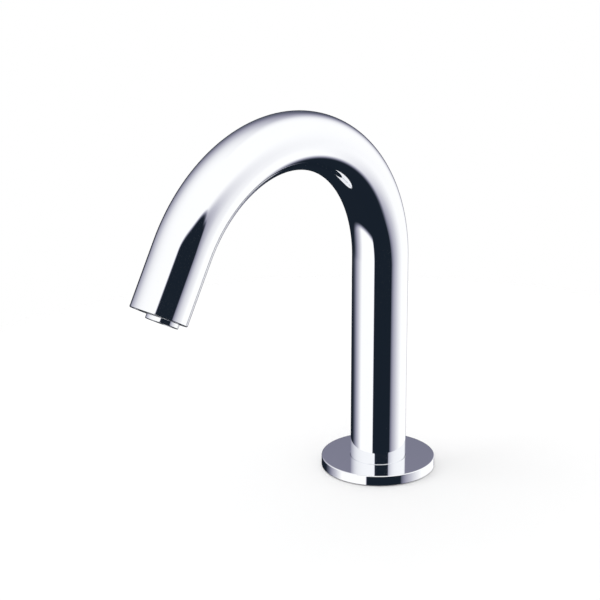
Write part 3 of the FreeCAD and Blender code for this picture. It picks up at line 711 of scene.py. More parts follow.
def make_bend_tree() -> Graph:
    """Build the tree that bends a straight upright tube over the arch.

    Returns:
        The tree.
    """
    inputs = {"Geometry": None, "Column height": 112.0, "Arch radius": 74.0, "Sweep": 2.6, "Finish": None}
    graph = new_group("gooseneck_bend", inputs, ["Geometry"])
    given = graph.given()
    radius = given["Arch radius"]
    across, along, up = graph.parts(graph.point())
    past = graph.math("SUBTRACT", up, given["Column height"])
    turned = graph.math("MAXIMUM", graph.math("DIVIDE", past, radius), 0.0)
    turned = graph.math("MINIMUM", turned, given["Sweep"])
    straight = graph.math("SUBTRACT", past, graph.math("MULTIPLY", radius, turned))
    cosine = graph.math("COSINE", turned)
    sine = graph.math("SINE", turned)
    reach = graph.math("ADD", radius, along)
    back = graph.math("MULTIPLY_ADD", straight, sine, radius)
    new_along = graph.math("SUBTRACT", graph.math("MULTIPLY", reach, cosine), back)
    risen = graph.math("MULTIPLY_ADD", straight, cosine, given["Column height"])
    new_up = graph.math("MULTIPLY_ADD", reach, sine, risen)
    return end_tree(graph, moved(graph, given["Geometry"], across, new_along, new_up), given["Finish"])


def make_thread_tree() -> Graph:
    """Build the tree that winds a thread's surface, whose rows follow the helix.

    Returns:
        The tree.
    """
    sizes = named(Thread(12.0, 11.08, 1.5, -59.0, -1.0))
    graph = new_group("cut_thread", {**sizes, "Around": 96, "Rows a turn": 8, "Finish": None}, ["Geometry"])
    given = graph.given()
    pitch, low, high = given["Pitch"], given["Low"], given["High"]
    span = graph.math("DIVIDE", graph.math("SUBTRACT", high, low), pitch)
    turns = graph.math("ADD", graph.math("CEIL", span), 1.0)
    rows = graph.math("MULTIPLY_ADD", turns, given["Rows a turn"], 1.0)
    columns = graph.math("ADD", given["Around"], 1.0)
    sheet = {"Size X": 1.0, "Size Y": 1.0, "Vertices X": columns, "Vertices Y": rows}
    grid = graph.node("GeometryNodeMeshGrid", sheet).outputs["Mesh"]
    column, row, _ = graph.parts(graph.point())
    around = graph.math("ADD", column, 0.5)
    wound = graph.math("MULTIPLY", graph.math("ADD", row, 0.5), turns)
    lift = graph.math("ADD", graph.math("SUBTRACT", wound, 1.0), around)
    height = graph.math("MINIMUM", graph.math("MULTIPLY_ADD", lift, pitch, low), high)
    height = graph.math("MAXIMUM", height, low)
    phase = graph.math("ABSOLUTE", graph.math("SUBTRACT", graph.math("FRACT", wound), 0.5))
    crest = graph.ramp(phase, *FLANK, "LINEAR")
    above = graph.math("SUBTRACT", height, low)
    below = graph.math("SUBTRACT", high, height)
    whole = graph.ramp(graph.math("MINIMUM", above, below), 0.0, pitch)
    radius = graph.blend(graph.math("MULTIPLY", crest, whole), given["Root"], given["Crest"])
    angle = graph.math("MULTIPLY", around, TURN)
    across = graph.math("MULTIPLY", radius, graph.math("COSINE", angle))
    along = graph.math("MULTIPLY", radius, graph.math("SINE", angle))
    wrapped = moved(graph, grid, across, along, height)
    merged = graph.node("GeometryNodeMergeByDistance", {"Geometry": wrapped, "Distance": WELD_MM})
    return end_tree(graph, merged.outputs[0], given["Finish"])


def make_screen_tree() -> Graph:
    """Build the tree that makes a round plate of hexagonal holes.

    Returns:
        The tree.
    """
    inputs = {"Radius": 5.8, "Pitch": 1.3, "Strut": 0.3, "Thickness": 0.8, "Bottom": 0.9, "Finish": None}
    graph = new_group("screen_mesh", inputs, ["Geometry"])
    given = graph.given()
    pitch, radius = given["Pitch"], given["Radius"]
    half = graph.math("CEIL", graph.math("MULTIPLY", graph.math("DIVIDE", radius, pitch), HEX_REACH))
    count = graph.math("MULTIPLY_ADD", half, 2.0, 3.0)
    size = graph.math("MULTIPLY", graph.math("SUBTRACT", count, 1.0), pitch)
    sheet = {"Size X": size, "Size Y": size, "Vertices X": count, "Vertices Y": count}
    grid = graph.node("GeometryNodeMeshGrid", sheet).outputs["Mesh"]
    place = graph.point()
    across, along, _ = graph.parts(place)
    slanted = graph.math("MULTIPLY_ADD", along, 0.5, across)
    lattice = moved(graph, grid, slanted, graph.math("MULTIPLY", along, HEX_ROW), 0.0)
    triangles = graph.node("GeometryNodeTriangulate", {0: lattice}, quad_method="SHORTEST_DIAGONAL")
    cells = graph.node("GeometryNodeDualMesh", {0: triangles.outputs[0]}).outputs[0]
    reach = graph.length(place)
    outside = {"Geometry": cells, "Selection": graph.math("GREATER_THAN", reach, radius)}
    disc = graph.node("GeometryNodeDeleteGeometry", outside, domain="FACE").outputs[0]
    each = {"Mesh": disc, "Offset Scale": 0.0, "Individual": True}
    inset = graph.node("GeometryNodeExtrudeMesh", each).outputs
    hole = graph.math("SUBTRACT", 1.0, graph.math("DIVIDE", given["Strut"], pitch))
    shrink = {"Geometry": inset["Mesh"], "Selection": inset["Top"], "Scale": hole}
    shrunk = graph.node("GeometryNodeScaleElements", shrink, domain="FACE").outputs[0]
    open_cells = {"Geometry": shrunk, "Selection": inset["Top"]}
    net = graph.node("GeometryNodeDeleteGeometry", open_cells, domain="FACE").outputs[0]
    pull = graph.math("MINIMUM", graph.math("DIVIDE", radius, graph.math("MAXIMUM", reach, WELD_MM)), 1.0)
    drawn = graph.node("ShaderNodeVectorMath", {0: place, "Scale": pull}, operation="SCALE").outputs[0]
    trimmed = graph.node("GeometryNodeSetPosition", {"Geometry": net, "Position": drawn}).outputs[0]
    rise = graph.node("ShaderNodeCombineXYZ", {2: given["Thickness"]}).outputs[0]
    raised = {"Mesh": trimmed, "Offset": rise, "Offset Scale": 1.0, "Individual": False}
    thick = graph.node("GeometryNodeExtrudeMesh", raised).outputs["Mesh"]
    under = graph.node("GeometryNodeFlipFaces", {0: trimmed}).outputs[0]
    both = graph.node("GeometryNodeJoinGeometry")
    for part in (thick, under):
        graph.feed(both.inputs[0], part)
    merged = graph.node("GeometryNodeMergeByDistance", {"Geometry": both.outputs[0], "Distance": WELD_MM})
    lift = graph.node("ShaderNodeCombineXYZ", {2: given["Bottom"]}).outputs[0]
    set_down = {"Geometry": merged.outputs[0], "Offset": lift}
    return end_tree(graph, graph.node("GeometryNodeSetPosition", set_down).outputs[0], given["Finish"])


# ---------------------------------------------------------------- the workshop


class Workshop:
    """Holds the finishes and the trees, and makes finished pieces in place of the CAD nodes."""

    def __init__(self) -> None:
        """Make the finishes and the trees."""
        effects = Effects()
        self.finishes = {finish.slot: finish.make(effects) for finish in FINISHES}
        self.bend = make_bend_tree()
        self.winding = make_thread_tree()
        self.screen = make_screen_tree()

    def enter(
        self, name: str, shape: Shape, body: Body, slot: Slot, node: str, place: Matrix | None = None
    ) -> None:
        """Make a piece of a shape, hang it on its body and hide the CAD node that it stands for.

        Args:
            name: The piece's name.
            shape: Its shape in millimetres.
            body: The body that it rides on.
            slot: Its material slot.
            node: The CAD node that it stands for.
            place: Where it goes, in millimetres.
        """
        mesh = shape.mesh(name, MM, place)
        mesh.materials.append(self.finishes[slot])
        piece = held(name, mesh)
        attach(piece, body.value)
        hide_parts(node)
        LOG.info("%s: %d faces, on %s, in %s", name, len(mesh.polygons), body.value, slot.value)

    def wind(self, thread: Thread, slot: Slot, around: int) -> Shape:
        """Wind a thread's surface, in as many steps a turn as asked for."""
        values = {**named(thread), "Around": around, "Finish": self.finishes[slot]}
        return shape_of(grown(self.winding, values))

    def dress_nodes(self) -> None:
        """Give every CAD node its finish, those that stand behind a piece too."""
        for row in frame["record"]["subparts"]:
            slot = Slot(row["material_slot"])
            for holder in frame["nodes"][row["node"]].material_slots:
                holder.material = self.finishes[slot]
            LOG.info("%s: the CAD node, in %s", row["node"], slot.value)


# ---------------------------------------------------------------- sub-assemblies


@dataclass
class Spout:
    """The chromed gooseneck tube, from its foot in the flange to the end around the nose plug."""

    radius: float = 14.0
    wall: float = 1.5
    foot: float = 2.5
    column_height: float = 112.0
    arch_radius: float = 74.0
    sweep: float = math.radians(150)
    tip: float = 32.0
    outer_edge: float = 0.4
    inner_edge: float = 0.15
    rim: float = 1.0
    segments: int = 240
    outside_rows: tuple[int, int, int] = (12, 150, 24)
    inside_rows: tuple[int, int, int] = (4, 36, 16)
    edge_rows: int = 6
    screw_back: float = 14.8
    screw_radius: float = 1.6
    screw_edge: float = 0.25
    drill_depth: float = 3.0
    drill_rise: float = 1.0
    drill_segments: int = 40

    @property
    def length(self) -> float:
        """The path's length from the deck to the tube's end."""
        return self.column_height + self.arch_radius * self.sweep + self.tip

    @property
    def nose(self) -> Matrix:
        """The nose's frame: the tube's end, with +Z out of it and +Y to its outer side."""
        cosine, sine = math.cos(self.sweep), math.sin(self.sweep)
        over = self.arch_radius * (1 - cosine) + self.tip * sine
        up = self.column_height + self.arch_radius * sine + self.tip * cosine
        return Matrix.Translation((0.0, -over, up)) @ Matrix.Rotation(self.sweep, 4, "X")

    def section(self) -> list[Point]:
        """Draw the wall's section along the straight tube.

        Returns:
            The radius and height of each point, up the outside and down the inside.
        """
        end = self.length
        bend_end = end - self.tip
        rim_start = end - self.rim
        inner = self.radius - self.wall
        corners = [
            (self.radius, rim_start, 0.0),
            (self.radius, end, self.outer_edge),
            (inner, end, self.inner_edge),
            (inner, rim_start, 0.0),
        ]
        column_rows, bend_rows, tip_rows = self.outside_rows
        outside = spaced(self.foot, self.column_height, column_rows)
        outside += spaced(self.column_height, bend_end, bend_rows)[1:]
        outside += spaced(bend_end, rim_start, tip_rows)[1:-1]
        column_rows, bend_rows, tip_rows = self.inside_rows
        inside = spaced(rim_start, bend_end, tip_rows)[1:]
        inside += spaced(bend_end, self.column_height, bend_rows)[1:]
        inside += spaced(self.column_height, self.foot, column_rows)[1:]
        edges = rounded(corners, self.edge_rows)
        return [(self.radius, z) for z in outside] + edges + [(inner, z) for z in inside]

    def build(self, shop: Workshop) -> None:
        """Build the straight tube, drill it for the grub screw and bend it.

        Args:
            shop: The workshop.
        """
        straight = lathe(self.section(), self.segments).mesh("straight_tube")
        radius, edge = self.screw_radius, self.screw_edge
        flare = radius + edge * 2
        low, high = -self.drill_depth, self.drill_rise
        profile = [(0.0, low), (radius, low), (radius, -edge), (flare, edge), (flare, high), (0.0, high)]
        drill = lathe(profile, self.drill_segments, closed=False)
        hole = Matrix.Translation((0.0, -self.radius, self.length - self.screw_back))
        aim = hole @ Matrix.Rotation(math.radians(90), 4, "X")
        drilled = cut(straight, drill.mesh("screw_drill", 1.0, aim))
        values = {
            "Column height": self.column_height,
            "Arch radius": self.arch_radius,
            "Sweep": self.sweep,
            "Finish": shop.finishes[Slot.CHROME],
        }
        bent = shape_of(grown(shop.bend, values, drilled))
        shop.enter("gooseneck", bent, Body.TAP, Slot.CHROME, "spout_tube")


@dataclass
class Foot:
    """The flange on the deck and the rubber ring under it."""

    flange_radius: float = 28.75
    flange_low: float = 0.4
    flange_high: float = 5.5
    rim_edge: float = 0.5
    seat_radius: float = 14.05
    seat_edge: float = 0.35
    ledge: float = 2.5
    hole_radius: float = 12.1
    gasket_inner: float = 18.0
    gasket_outer: float = 25.0
    gasket_top: float = 1.6
    gasket_slack: float = 0.03
    segments: int = 192

    def build(self, shop: Workshop) -> None:
        """Turn the flange and its gasket.

        Args:
            shop: The workshop.
        """
        corners = [
            (self.hole_radius, self.flange_low, 0.15),
            (self.gasket_inner, self.flange_low, 0.15),
            (self.gasket_inner, self.gasket_top, 0.0),
            (self.gasket_outer, self.gasket_top, 0.0),
            (self.gasket_outer, self.flange_low, 0.15),
            (self.flange_radius, self.flange_low, 0.2),
            (self.flange_radius, self.flange_high, self.rim_edge),
            (self.seat_radius, self.flange_high, self.seat_edge),
            (self.seat_radius, self.ledge, 0.0),
            (self.hole_radius, self.ledge, 0.0),
        ]
        flange = lathe(rounded(corners), self.segments)
        shop.enter("deck_flange", flange, Body.TAP, Slot.CHROME, "base_flange")
        slack = self.gasket_slack
        inner, outer, top = self.gasket_inner + slack, self.gasket_outer - slack, self.gasket_top - slack
        section = rounded(flat_ring(inner, outer, 0.0, top, (0.35, 0.35, 0.2, 0.2)))
        gasket = lathe(section, self.segments)
        shop.enter("deck_gasket", gasket, Body.TAP, Slot.RUBBER, "base_gasket")


@dataclass
class DeckClamp:
    """What holds the tap from below the deck: shank, rubber ring, washer and nut."""

    thread: Thread = Thread(12.0, 11.08, 1.5, -59.1, -1.4)
    shoulder: float = 0.9
    shank_low: float = -60.0
    foot_bevel: float = 0.54
    spigot_radius: float = 12.47
    spigot_low: float = 2.5
    spigot_high: float = 22.0
    bore: float = 9.5
    ring_hole: float = 12.3
    gasket_radius: float = 21.0
    gasket_high: float = -20.0
    gasket_low: float = -23.0
    groove_radii: Point = (18.6, 15.4)
    groove_halves: Point = (0.6, 0.2)
    groove_depth: float = 0.4
    ring_segments: int = 144
    washer_radius: float = 22.0
    washer_low: float = -25.0
    nut_low: float = -34.0
    nut_hole: float = 12.06
    nut_hole_edge: float = 0.55
    nut_flats: float = 32.0
    nut_corner: float = 0.7
    nut_face_radius: float = 15.3
    nut_fall: float = math.tan(math.radians(30))
    nut_edge: float = 0.16
    nut_edge_guard: float = 1.5
    flat_steps: int = 12
    corner_steps: int = 6
    segments: int = 96

    def build(self, shop: Workshop) -> None:
        """Build the four pieces.

        Args:
            shop: The workshop.
        """
        shop.enter("threaded_shank", self.shank_shape(shop), Body.TAP, Slot.BRASS, "shank")
        high = self.gasket_high
        gasket = flat_ring(self.ring_hole, self.gasket_radius, self.gasket_low, high, (0.2, 0.5, 0.5, 0.2))
        mouth, floor = self.groove_halves
        steps = ((mouth, 0.0), (floor, self.groove_depth), (-floor, self.groove_depth), (-mouth, 0.0))
        grooves = [
            (radius + side, high - drop, 0.1) for radius in self.groove_radii for side, drop in steps
        ]
        gasket = lathe(rounded(gasket[:3] + grooves + gasket[3:]), self.ring_segments)
        shop.enter("under_deck_gasket", gasket, Body.RINGS, Slot.RUBBER, "clamp_gasket")
        low, high, edges = self.washer_low, self.gasket_low, (0.35, 0.55, 0.12, 0.12)
        washer = flat_ring(self.ring_hole, self.washer_radius, low, high, edges)
        washer = lathe(rounded(washer), self.ring_segments)
        shop.enter("under_deck_washer", washer, Body.RINGS, Slot.STEEL, "clamp_washer")
        shop.enter("clamp_nut", self.nut_shape(), Body.NUT, Slot.BRASS, "mounting_nut")

    def shank_shape(self, shop: Workshop) -> Shape:
        """Wind the shank's thread and turn the rest of it.

        Args:
            shop: The workshop.

        Returns:
            The shank's shape.
        """
        thread = self.thread
        corners = [
            (thread.root, thread.high, 0.0),
            (thread.crest, thread.high + self.shoulder, 0.1),
            (thread.crest, self.spigot_low, 0.0),
            (self.spigot_radius, self.spigot_low, 0.0),
            (self.spigot_radius, self.spigot_high, 0.4),
            (self.bore, self.spigot_high, 0.2),
            (self.bore, self.shank_low, 0.2),
            (thread.root - self.foot_bevel, self.shank_low, 0.1),
            (thread.root, thread.low, 0.0),
        ]
        shank = lathe(rounded(corners), self.segments, closed=False)
        shank.add(shop.wind(thread, Slot.BRASS, self.segments))
        return shank

    def nut_outline(self) -> list[Vector]:
        """Draw the hexagon with its rounded corners.

        Returns:
            The outline's points.
        """
        half = self.nut_flats / 2
        reach = (half - self.nut_corner) * math.tan(TURN / 12)
        outline = []
        for side in range(6):
            turn = Matrix.Rotation(TURN * side / 6, 2)
            outline += [turn @ Vector((half, share * reach)) for share in spaced(-1, 1, self.flat_steps)]
            centre = Vector((half - self.nut_corner, reach))
            for angle in spaced(0, TURN / 6, self.corner_steps)[1:-1]:
                way = Vector((math.cos(angle), math.sin(angle))) * self.nut_corner
                outline.append(turn @ (centre + way))
        return outline

    def nut_shape(self) -> Shape:
        """Draw the hexagon nut, whose faces fall away towards its corners.

        Returns:
            The nut's shape.
        """
        outline = self.nut_outline()
        ways = [point.normalized() for point in outline]

        def circle(radius: float, height: float) -> list[Corner]:
            """Give a round ring of points."""
            return [(*(way * radius), height) for way in ways]

        def side(inset: float, drop: float, face: float, up: int) -> list[Corner]:
            """Give a ring along the hexagon, near one of the nut's faces."""
            rows = []
            for point, way in zip(outline, ways):
                reach = point.length - inset
                fallen = max(0.0, reach - self.nut_face_radius) * self.nut_fall
                rows.append((*(way * reach), face - up * (fallen + drop)))
            return rows

        high, low, edge = self.washer_low, self.nut_low, self.nut_edge
        beside = edge * self.nut_edge_guard
        mouth = self.nut_hole + self.nut_hole_edge
        rings = [
            circle(self.nut_hole, low + self.nut_hole_edge),
            circle(self.nut_hole, high - self.nut_hole_edge),
            circle(mouth, high),
            circle(self.nut_face_radius, high),
            side(edge, 0.0, high, 1),
            side(0.0, edge, high, 1),
            side(0.0, beside, high, 1),
            side(0.0, beside, low, -1),
            side(0.0, edge, low, -1),
            side(edge, 0.0, low, -1),
            circle(self.nut_face_radius, low),
            circle(mouth, low),
        ]
        return joined_rings(rings, closed=True)


@dataclass
class Inlet:
    """The plug in the shank's lower end, whose hose port gets its mouth and its thread."""

    port_y: float = -3.5
    thread: Thread = Thread(5.0, 4.44, 1.0, -62.4, -50.2)
    mouth_low: float = -63.0
    mouth_high: float = -60.6
    mouth_radii: Point = (3.9, 6.3)
    segments: int = 64

    def build(self, shop: Workshop) -> None:
        """Cut the mouth and the thread into a copy of the CAD plug.

        Args:
            shop: The workshop.
        """
        blank = shape_of(frame["nodes"]["inlet_plug"].data)
        blank.points = [tuple(value / MM for value in point) for point in blank.points]
        place = Matrix.Translation((0.0, self.port_y, 0.0))
        inner, outer = self.mouth_radii
        low, high = self.mouth_low, self.mouth_high
        cone = [(0.0, low), (outer, low), (inner, high), (0.0, high)]
        mouth = lathe(cone, self.segments, closed=False).mesh("mouth_cutter", 1.0, place)
        opened = cut(blank.mesh("inlet_blank"), mouth)
        threaded = cut(opened, self.tap_shape(shop).mesh("thread_cutter", 1.0, place))
        shop.enter("hose_inlet", shape_of(threaded), Body.TAP, Slot.BRASS, "inlet_plug")

    def tap_shape(self, shop: Workshop) -> Shape:
        """Wind the thread that is cut out, closed at both ends.

        Args:
            shop: The workshop.

        Returns:
            The cutter's shape.
        """
        cutter = shop.wind(self.thread, Slot.BRASS, self.segments)
        for height in (self.thread.low, self.thread.high):
            cutter.add(lathe([(0.0, height), (self.thread.root, height)], self.segments, closed=False))
        return cutter


@dataclass
class Aerator:
    """The chromed collar at the spout's end and the screen in it, in the nose's frame."""

    axis_y: float = -3.5
    collar: float = 8.0
    collar_low: float = -0.6
    collar_high: float = 2.3
    collar_edge: float = 0.4
    thread: Thread = Thread(7.5, 6.98, 1.0, -8.2, -1.1)
    foot_low: float = -8.6
    foot_bevel: float = 0.2
    bore: float = 6.5
    lip: float = 5.8
    lip_low: float = 1.9
    screen_radius: float = 6.42
    screen_low: float = 0.9
    screen_gap: float = 0.02
    screen_rim: float = 0.8
    screen_pitch: float = 1.25
    screen_strut: float = 0.3
    mesh_inset: float = 0.1
    segments: int = 120

    def build(self, shop: Workshop, nose: Matrix) -> None:
        """Build the collar and the screen.

        Args:
            shop: The workshop.
            nose: The nose's frame.
        """
        place = nose @ Matrix.Translation((0.0, self.axis_y, 0.0))
        collar = self.collar_shape(shop)
        shop.enter("aerator_collar", collar, Body.NOZZLE, Slot.CHROME, "aerator_nozzle", place)
        outer, low, high = self.screen_radius, self.screen_low, self.lip_low - self.screen_gap
        rim = flat_ring(outer - self.screen_rim, outer, low, high, (0.08, 0.08, 0.08, 0.15))
        screen = lathe(rounded(rim), self.segments)
        values = {
            "Radius": outer - self.screen_rim / 2,
            "Pitch": self.screen_pitch,
            "Strut": self.screen_strut,
            "Thickness": self.lip_low - low - self.mesh_inset * 2,
            "Bottom": low + self.mesh_inset,
            "Finish": shop.finishes[Slot.SCREEN],
        }
        screen.add(shape_of(grown(shop.screen, values)))
        shop.enter("outlet_screen", screen, Body.CORE, Slot.SCREEN, "aerator_screen", place)

    def collar_shape(self, shop: Workshop) -> Shape:
        """Wind the collar's thread and turn the rest of it.

        Args:
            shop: The workshop.

        Returns:
            The collar's shape.
        """
        thread = self.thread
        corners = [
            (thread.root, thread.high, 0.0),
            (thread.root, self.collar_low, 0.0),
            (self.collar, self.collar_low, 0.12),
            (self.collar, self.collar_high, self.collar_edge),
            (self.lip, self.collar_high, 0.15),
            (self.lip, self.lip_low, 0.08),
            (self.bore, self.lip_low, 0.0),
            (self.bore, self.foot_low, 0.1),
            (thread.root - self.foot_bevel, self.foot_low, 0.0),
            (thread.root, thread.low, 0.0),
        ]
        collar = lathe(rounded(corners), self.segments, closed=False)
        collar.add(shop.wind(thread, Slot.CHROME, self.segments))
        return collar


# ---------------------------------------------------------------- studio

WHITE = (1.0, 1.0, 1.0, 1.0)
DECK_PAINT = {"Base Color": (0.97, 0.97, 0.97, 1.0), "Roughness": 0.9, "Specular IOR Level": 0.0}
ROOM_TONES = (  # each tone of the mirrored room and its colour as a screen shows it
    (0.13, (24, 32, 42)),
    (0.25, (58, 62, 74)),
    (0.41, (100, 103, 118)),
    (0.53, (137, 136, 154)),
    (0.77, (195, 195, 205)),
    (1.0, (255, 255, 255)),
)


@dataclass(frozen=True)
class Patch:
    """A light panel or a dark flag of the studio, placed in degrees round and above the tap.

    Azimuth is 0 towards the camera and grows to its right. A patch that leans has its middle move
    to the side with height.
    """

    azimuth: float
    height: float
    half_width: float
    half_height: float
    edge: float = 0.1
    power: float = 2.0
    lean: float = 0.0


@dataclass
class Studio:
    """The white room that the chrome mirrors, the deck, one soft lamp and the camera.

    A fade has the azimuths where its light starts and is full, and the power that bends it. What
    rises or falls has the degrees where it is 0 and where it is 1.
    """

    camera_turn: float = 0.741
    camera_place: Corner = (0.76889066, -0.89936062, 0.510003)
    camera_pitch: float = 0.342
    lens: float = 150.633
    sensor: float = 36.0
    clip: Point = (0.05, 20.0)
    left_panel: Patch = Patch(-71, -9.5, 71, 40)
    left_fade: Corner = (-140.0, -80.0, 0.78)
    right_panel: Patch = Patch(94, 27, 104, 73)
    right_fade: Corner = (45.0, 99.0, 0.34)
    horizon: Point = (-23.0, -5.0)
    doorway: Patch = Patch(10.1, -30, 35.4, 63.6, 0.045, 3.5, 0.06)
    door_post: Patch = Patch(41.5, -1, 12, 19, 0.12)
    door_tone: float = 0.12
    door_edge: float = 50.0
    door_shift: float = 7.0
    door_shift_rise: Point = (16.0, -4.0)
    penumbra_reach: float = 14.0
    penumbra_rise: Point = (30.0, 45.0)
    penumbra_fall: Point = (34.0, 8.0)
    penumbra_depth: float = 0.45
    rear_flag: Patch = Patch(190, -14, 26, 14, 0.45)
    rear_azimuth: float = 173.0
    rear_widths: Point = (18.0, 62.0)
    rear_heights: Point = (20.0, 45.0)
    rear_depth: float = 0.68
    white_wall: Patch = Patch(180, -10, 62, 75, 0.35)
    pale_wall: Colour = (214, 217, 222)
    dark: float = 0.13
    mirror_strength: float = 1.08
    deck_radius: float = 300.0
    deck_fade: float = 30.0
    deck_hole: float = 26.5
    deck_segments: int = 128
    lamp_place: Corner = (-0.9, -1.1, 1.7)
    lamp_aim: Corner = (0.0, -0.07, 0.1)
    lamp_size: float = 1.6
    lamp_power: float = 6.0

    @property
    def right(self) -> Corner:
        """The camera's right, level with the deck."""
        return (math.cos(self.camera_turn), math.sin(self.camera_turn), 0.0)

    @property
    def back(self) -> Corner:
        """The level direction from the tap to the camera."""
        return (math.sin(self.camera_turn), -math.cos(self.camera_turn), 0.0)

    @staticmethod
    def make_patch_group() -> NodeTree:
        """Build the group that says how far a direction lies in a patch.

        Returns:
            The group.
        """
        inputs = {"Around": 0.0, "Up": 0.0, **named(Patch(0.0, 0.0, 30.0, 30.0))}
        graph = new_group("studio_patch", inputs, ["Mask"])
        given = graph.given()
        above = graph.math("SUBTRACT", given["Up"], given["Height"])
        leant = graph.math("MULTIPLY_ADD", above, given["Lean"], given["Azimuth"])
        beside = graph.past(given["Around"], leant)
        shares = []
        for offset, size in ((beside, given["Half width"]), (above, given["Half height"])):
            share = graph.math("DIVIDE", graph.math("ABSOLUTE", offset), size)
            shares.append(graph.math("POWER", share, given["Power"]))
        reach = graph.math("POWER", graph.math("ADD", *shares), graph.math("DIVIDE", 1.0, given["Power"]))
        inside = graph.math("SUBTRACT", 1.0, given["Edge"])
        outside = graph.math("ADD", 1.0, given["Edge"])
        return graph.put_out({"Mask": graph.ramp(reach, outside, inside)}).tree

    def room_tone(
        self, graph: Graph, azimuth: Feed, height: Feed, place: Callable[[Patch], NodeSocket]
    ) -> NodeSocket:
        """Work out how light the mirrored room is in a direction.

        Args:
            graph: The world's tree.
            azimuth: The direction's azimuth in degrees.
            height: Its height in degrees.
            place: Gives a patch's mask.

        Returns:
            The tone, from 0 to 1.
        """

        def squared(offset: Feed, size: Feed) -> NodeSocket:
            """Give the square of an offset in shares of a size."""
            share = graph.math("DIVIDE", offset, size)
            return graph.math("MULTIPLY", share, share)

        low = self.dark
        panels = ((self.left_panel, self.left_fade), (self.right_panel, self.right_fade))
        for patch, (start, full, power) in panels:
            light = graph.math("POWER", graph.ramp(azimuth, start, full, "LINEAR"), power)
            low = graph.math("MAXIMUM", low, graph.math("MULTIPLY", place(patch), light))

        past_rear = graph.past(azimuth, self.rear_azimuth)
        width = graph.blend(graph.math("GREATER_THAN", past_rear, 0.0), *self.rear_widths)
        tall = graph.blend(graph.math("GREATER_THAN", height, 0.0), *self.rear_heights)
        squares = graph.math("ADD", squared(past_rear, width), squared(height, tall))
        rear_grey = graph.math("EXPONENT", graph.math("MULTIPLY", squares, -1.0))
        shift = graph.ramp(height, *self.door_shift_rise)
        door_edge = graph.math("MULTIPLY_ADD", shift, self.door_shift, self.door_edge)
        past_door = graph.math("SUBTRACT", azimuth, door_edge)
        penumbra = graph.math("EXPONENT", graph.math("DIVIDE", past_door, -self.penumbra_reach))
        penumbra = graph.math("MULTIPLY", penumbra, graph.ramp(azimuth, *self.penumbra_rise))
        penumbra = graph.math("MULTIPLY", penumbra, graph.ramp(height, *self.penumbra_fall))
        high = graph.math("MULTIPLY_ADD", rear_grey, -self.rear_depth, 1.0)
        high = graph.math("MULTIPLY_ADD", penumbra, -self.penumbra_depth, high)

        tone = graph.blend(graph.ramp(height, *self.horizon), low, high)
        for patch in (self.door_post, self.doorway):
            tone = graph.blend(place(patch), tone, self.door_tone)
        return graph.blend(place(self.rear_flag), tone, self.dark)

    def build_world(self) -> None:
        """Light everything from a plain white room, and show the chrome its panels and flags."""
        world = bpy.data.worlds.new("white_room")
        bpy.context.scene.world = world
        world.use_nodes = True
        graph = Graph(world.node_tree)
        way = graph.node("ShaderNodeTexCoord").outputs["Generated"]
        side, front = (
            graph.node("ShaderNodeVectorMath", {0: way, 1: axis}, operation="DOT_PRODUCT").outputs["Value"]
            for axis in (self.right, self.back)
        )
        rise = graph.parts(way)[2]
        azimuth = graph.math("DEGREES", graph.math("ARCTAN2", side, front))
        height = graph.math("DEGREES", graph.math("ARCSINE", rise))
        shape = self.make_patch_group()

        def place(patch: Patch) -> NodeSocket:
            """Put a patch into the room and give its mask."""
            feeds = {"Around": azimuth, "Up": height, **named(patch)}
            return graph.placed(shape, feeds).outputs["Mask"]

        colours = graph.node("ShaderNodeValToRGB", {0: self.room_tone(graph, azimuth, height, place)})
        elements = colours.color_ramp.elements
        while len(elements) < len(ROOM_TONES):
            elements.new(0.5)
        for element, (position, colour) in zip(elements, ROOM_TONES):
            element.position = position
            element.color = linear(colour)
        light = graph.node("ShaderNodeLightPath").outputs
        mirrored = graph.math("MAXIMUM", light["Is Glossy Ray"], light["Is Transmission Ray"])
        away = graph.math("SUBTRACT", 1.0, place(self.white_wall))
        behind = graph.math("MULTIPLY", away, light["Is Camera Ray"])
        plain = graph.blend_colour(behind, WHITE, linear(self.pale_wall))
        seen = graph.blend_colour(mirrored, plain, colours.outputs[0])
        strength = graph.blend(mirrored, 1.0, self.mirror_strength)
        background = graph.node("ShaderNodeBackground", {"Color": seen, "Strength": strength})
        graph.node("ShaderNodeOutputWorld", {"Surface": background.outputs[0]})

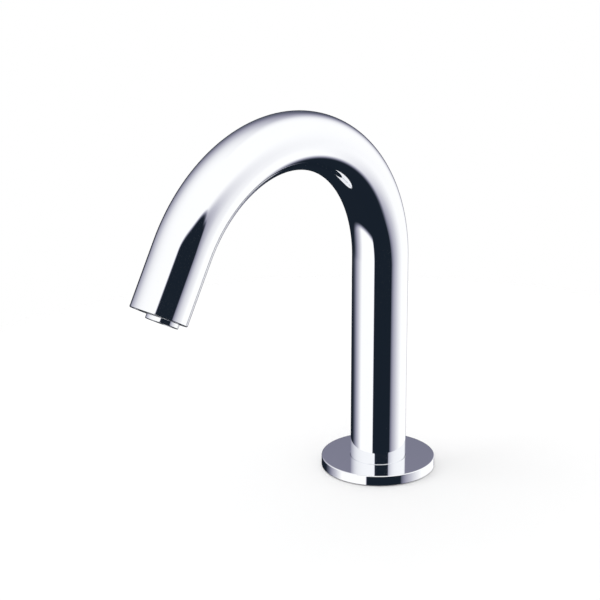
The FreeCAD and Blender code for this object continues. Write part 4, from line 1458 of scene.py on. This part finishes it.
    def build_deck(self) -> None:
        """Lay a white deck that fades into the room and is clear from below."""
        section = [(self.deck_hole, 0.0), (self.deck_radius, 0.0)]
        mesh = lathe(section, self.deck_segments, closed=False).mesh("white_deck", MM)
        if mesh.polygons[0].normal.z < 0:
            mesh.flip_normals()
        material = bpy.data.materials.new("white_deck_paint")
        material.use_nodes = True
        graph = Graph(material.node_tree)
        edge = self.deck_radius * MM
        fade = graph.ramp(graph.length(graph.here()), edge, edge - self.deck_fade * MM)
        back = graph.node("ShaderNodeNewGeometry").outputs["Backfacing"]
        alpha = graph.math("MULTIPLY", fade, graph.math("SUBTRACT", 1.0, back))
        shader = graph.node("ShaderNodeBsdfPrincipled", {**DECK_PAINT, "Alpha": alpha})
        graph.node("ShaderNodeOutputMaterial", {"Surface": shader.outputs[0]})
        mesh.materials.append(material)
        deck = held("white_deck", mesh)
        deck.visible_glossy = False
        deck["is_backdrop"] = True

    def build_lamp(self) -> None:
        """Hang one large soft lamp over the camera's left shoulder."""
        data = bpy.data.lights.new("soft_lamp", "AREA")
        data.shape = "DISK"
        data.size = self.lamp_size
        data.energy = self.lamp_power
        lamp = bpy.data.objects.new("soft_lamp", data)
        way = Vector(self.lamp_aim) - Vector(self.lamp_place)
        turn = way.to_track_quat("-Z", "Y").to_matrix().to_4x4()
        lamp.matrix_world = Matrix.Translation(self.lamp_place) @ turn
        lamp.visible_glossy = False
        bpy.context.scene.collection.objects.link(lamp)

    def build_camera(self) -> None:
        """Stand the camera where the photo was taken from."""
        data = bpy.data.cameras.new("photo_camera")
        data.sensor_fit = "HORIZONTAL"
        data.sensor_width = self.sensor
        data.lens = self.lens
        data.clip_start, data.clip_end = self.clip
        camera = bpy.data.objects.new("photo_camera", data)
        right = Vector(self.right)
        level, rise = math.cos(self.camera_pitch), math.sin(self.camera_pitch)
        back = Vector(self.back) * level + Vector((0.0, 0.0, rise))
        axes = Matrix((right, back.cross(right), back)).transposed()
        camera.matrix_world = Matrix.Translation(self.camera_place) @ axes.to_4x4()
        bpy.context.scene.collection.objects.link(camera)
        bpy.context.scene.camera = camera

    def build(self) -> None:
        """Build the studio."""
        self.build_camera()
        self.build_world()
        self.build_deck()
        self.build_lamp()
        bpy.context.scene.view_settings.view_transform = "Standard"


def plain_box() -> list[list[float]]:
    """Give the whole object's box as plain lists."""
    bpy.context.view_layer.update()
    return [[float(value) for value in corner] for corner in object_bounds()]


def main() -> None:
    """Build the studio and the tap, and work out the object's box before and after."""
    logging.basicConfig(level=logging.INFO, format="%(name)s: %(message)s")
    cad_box = plain_box()
    Studio().build()
    shop = Workshop()
    spout = Spout()
    spout.build(shop)
    Foot().build(shop)
    DeckClamp().build(shop)
    Inlet().build(shop)
    Aerator().build(shop, spout.nose)
    shop.dress_nodes()
    {"cad": cad_box, "visual": plain_box()}


if __name__ == "__main__":
    main()
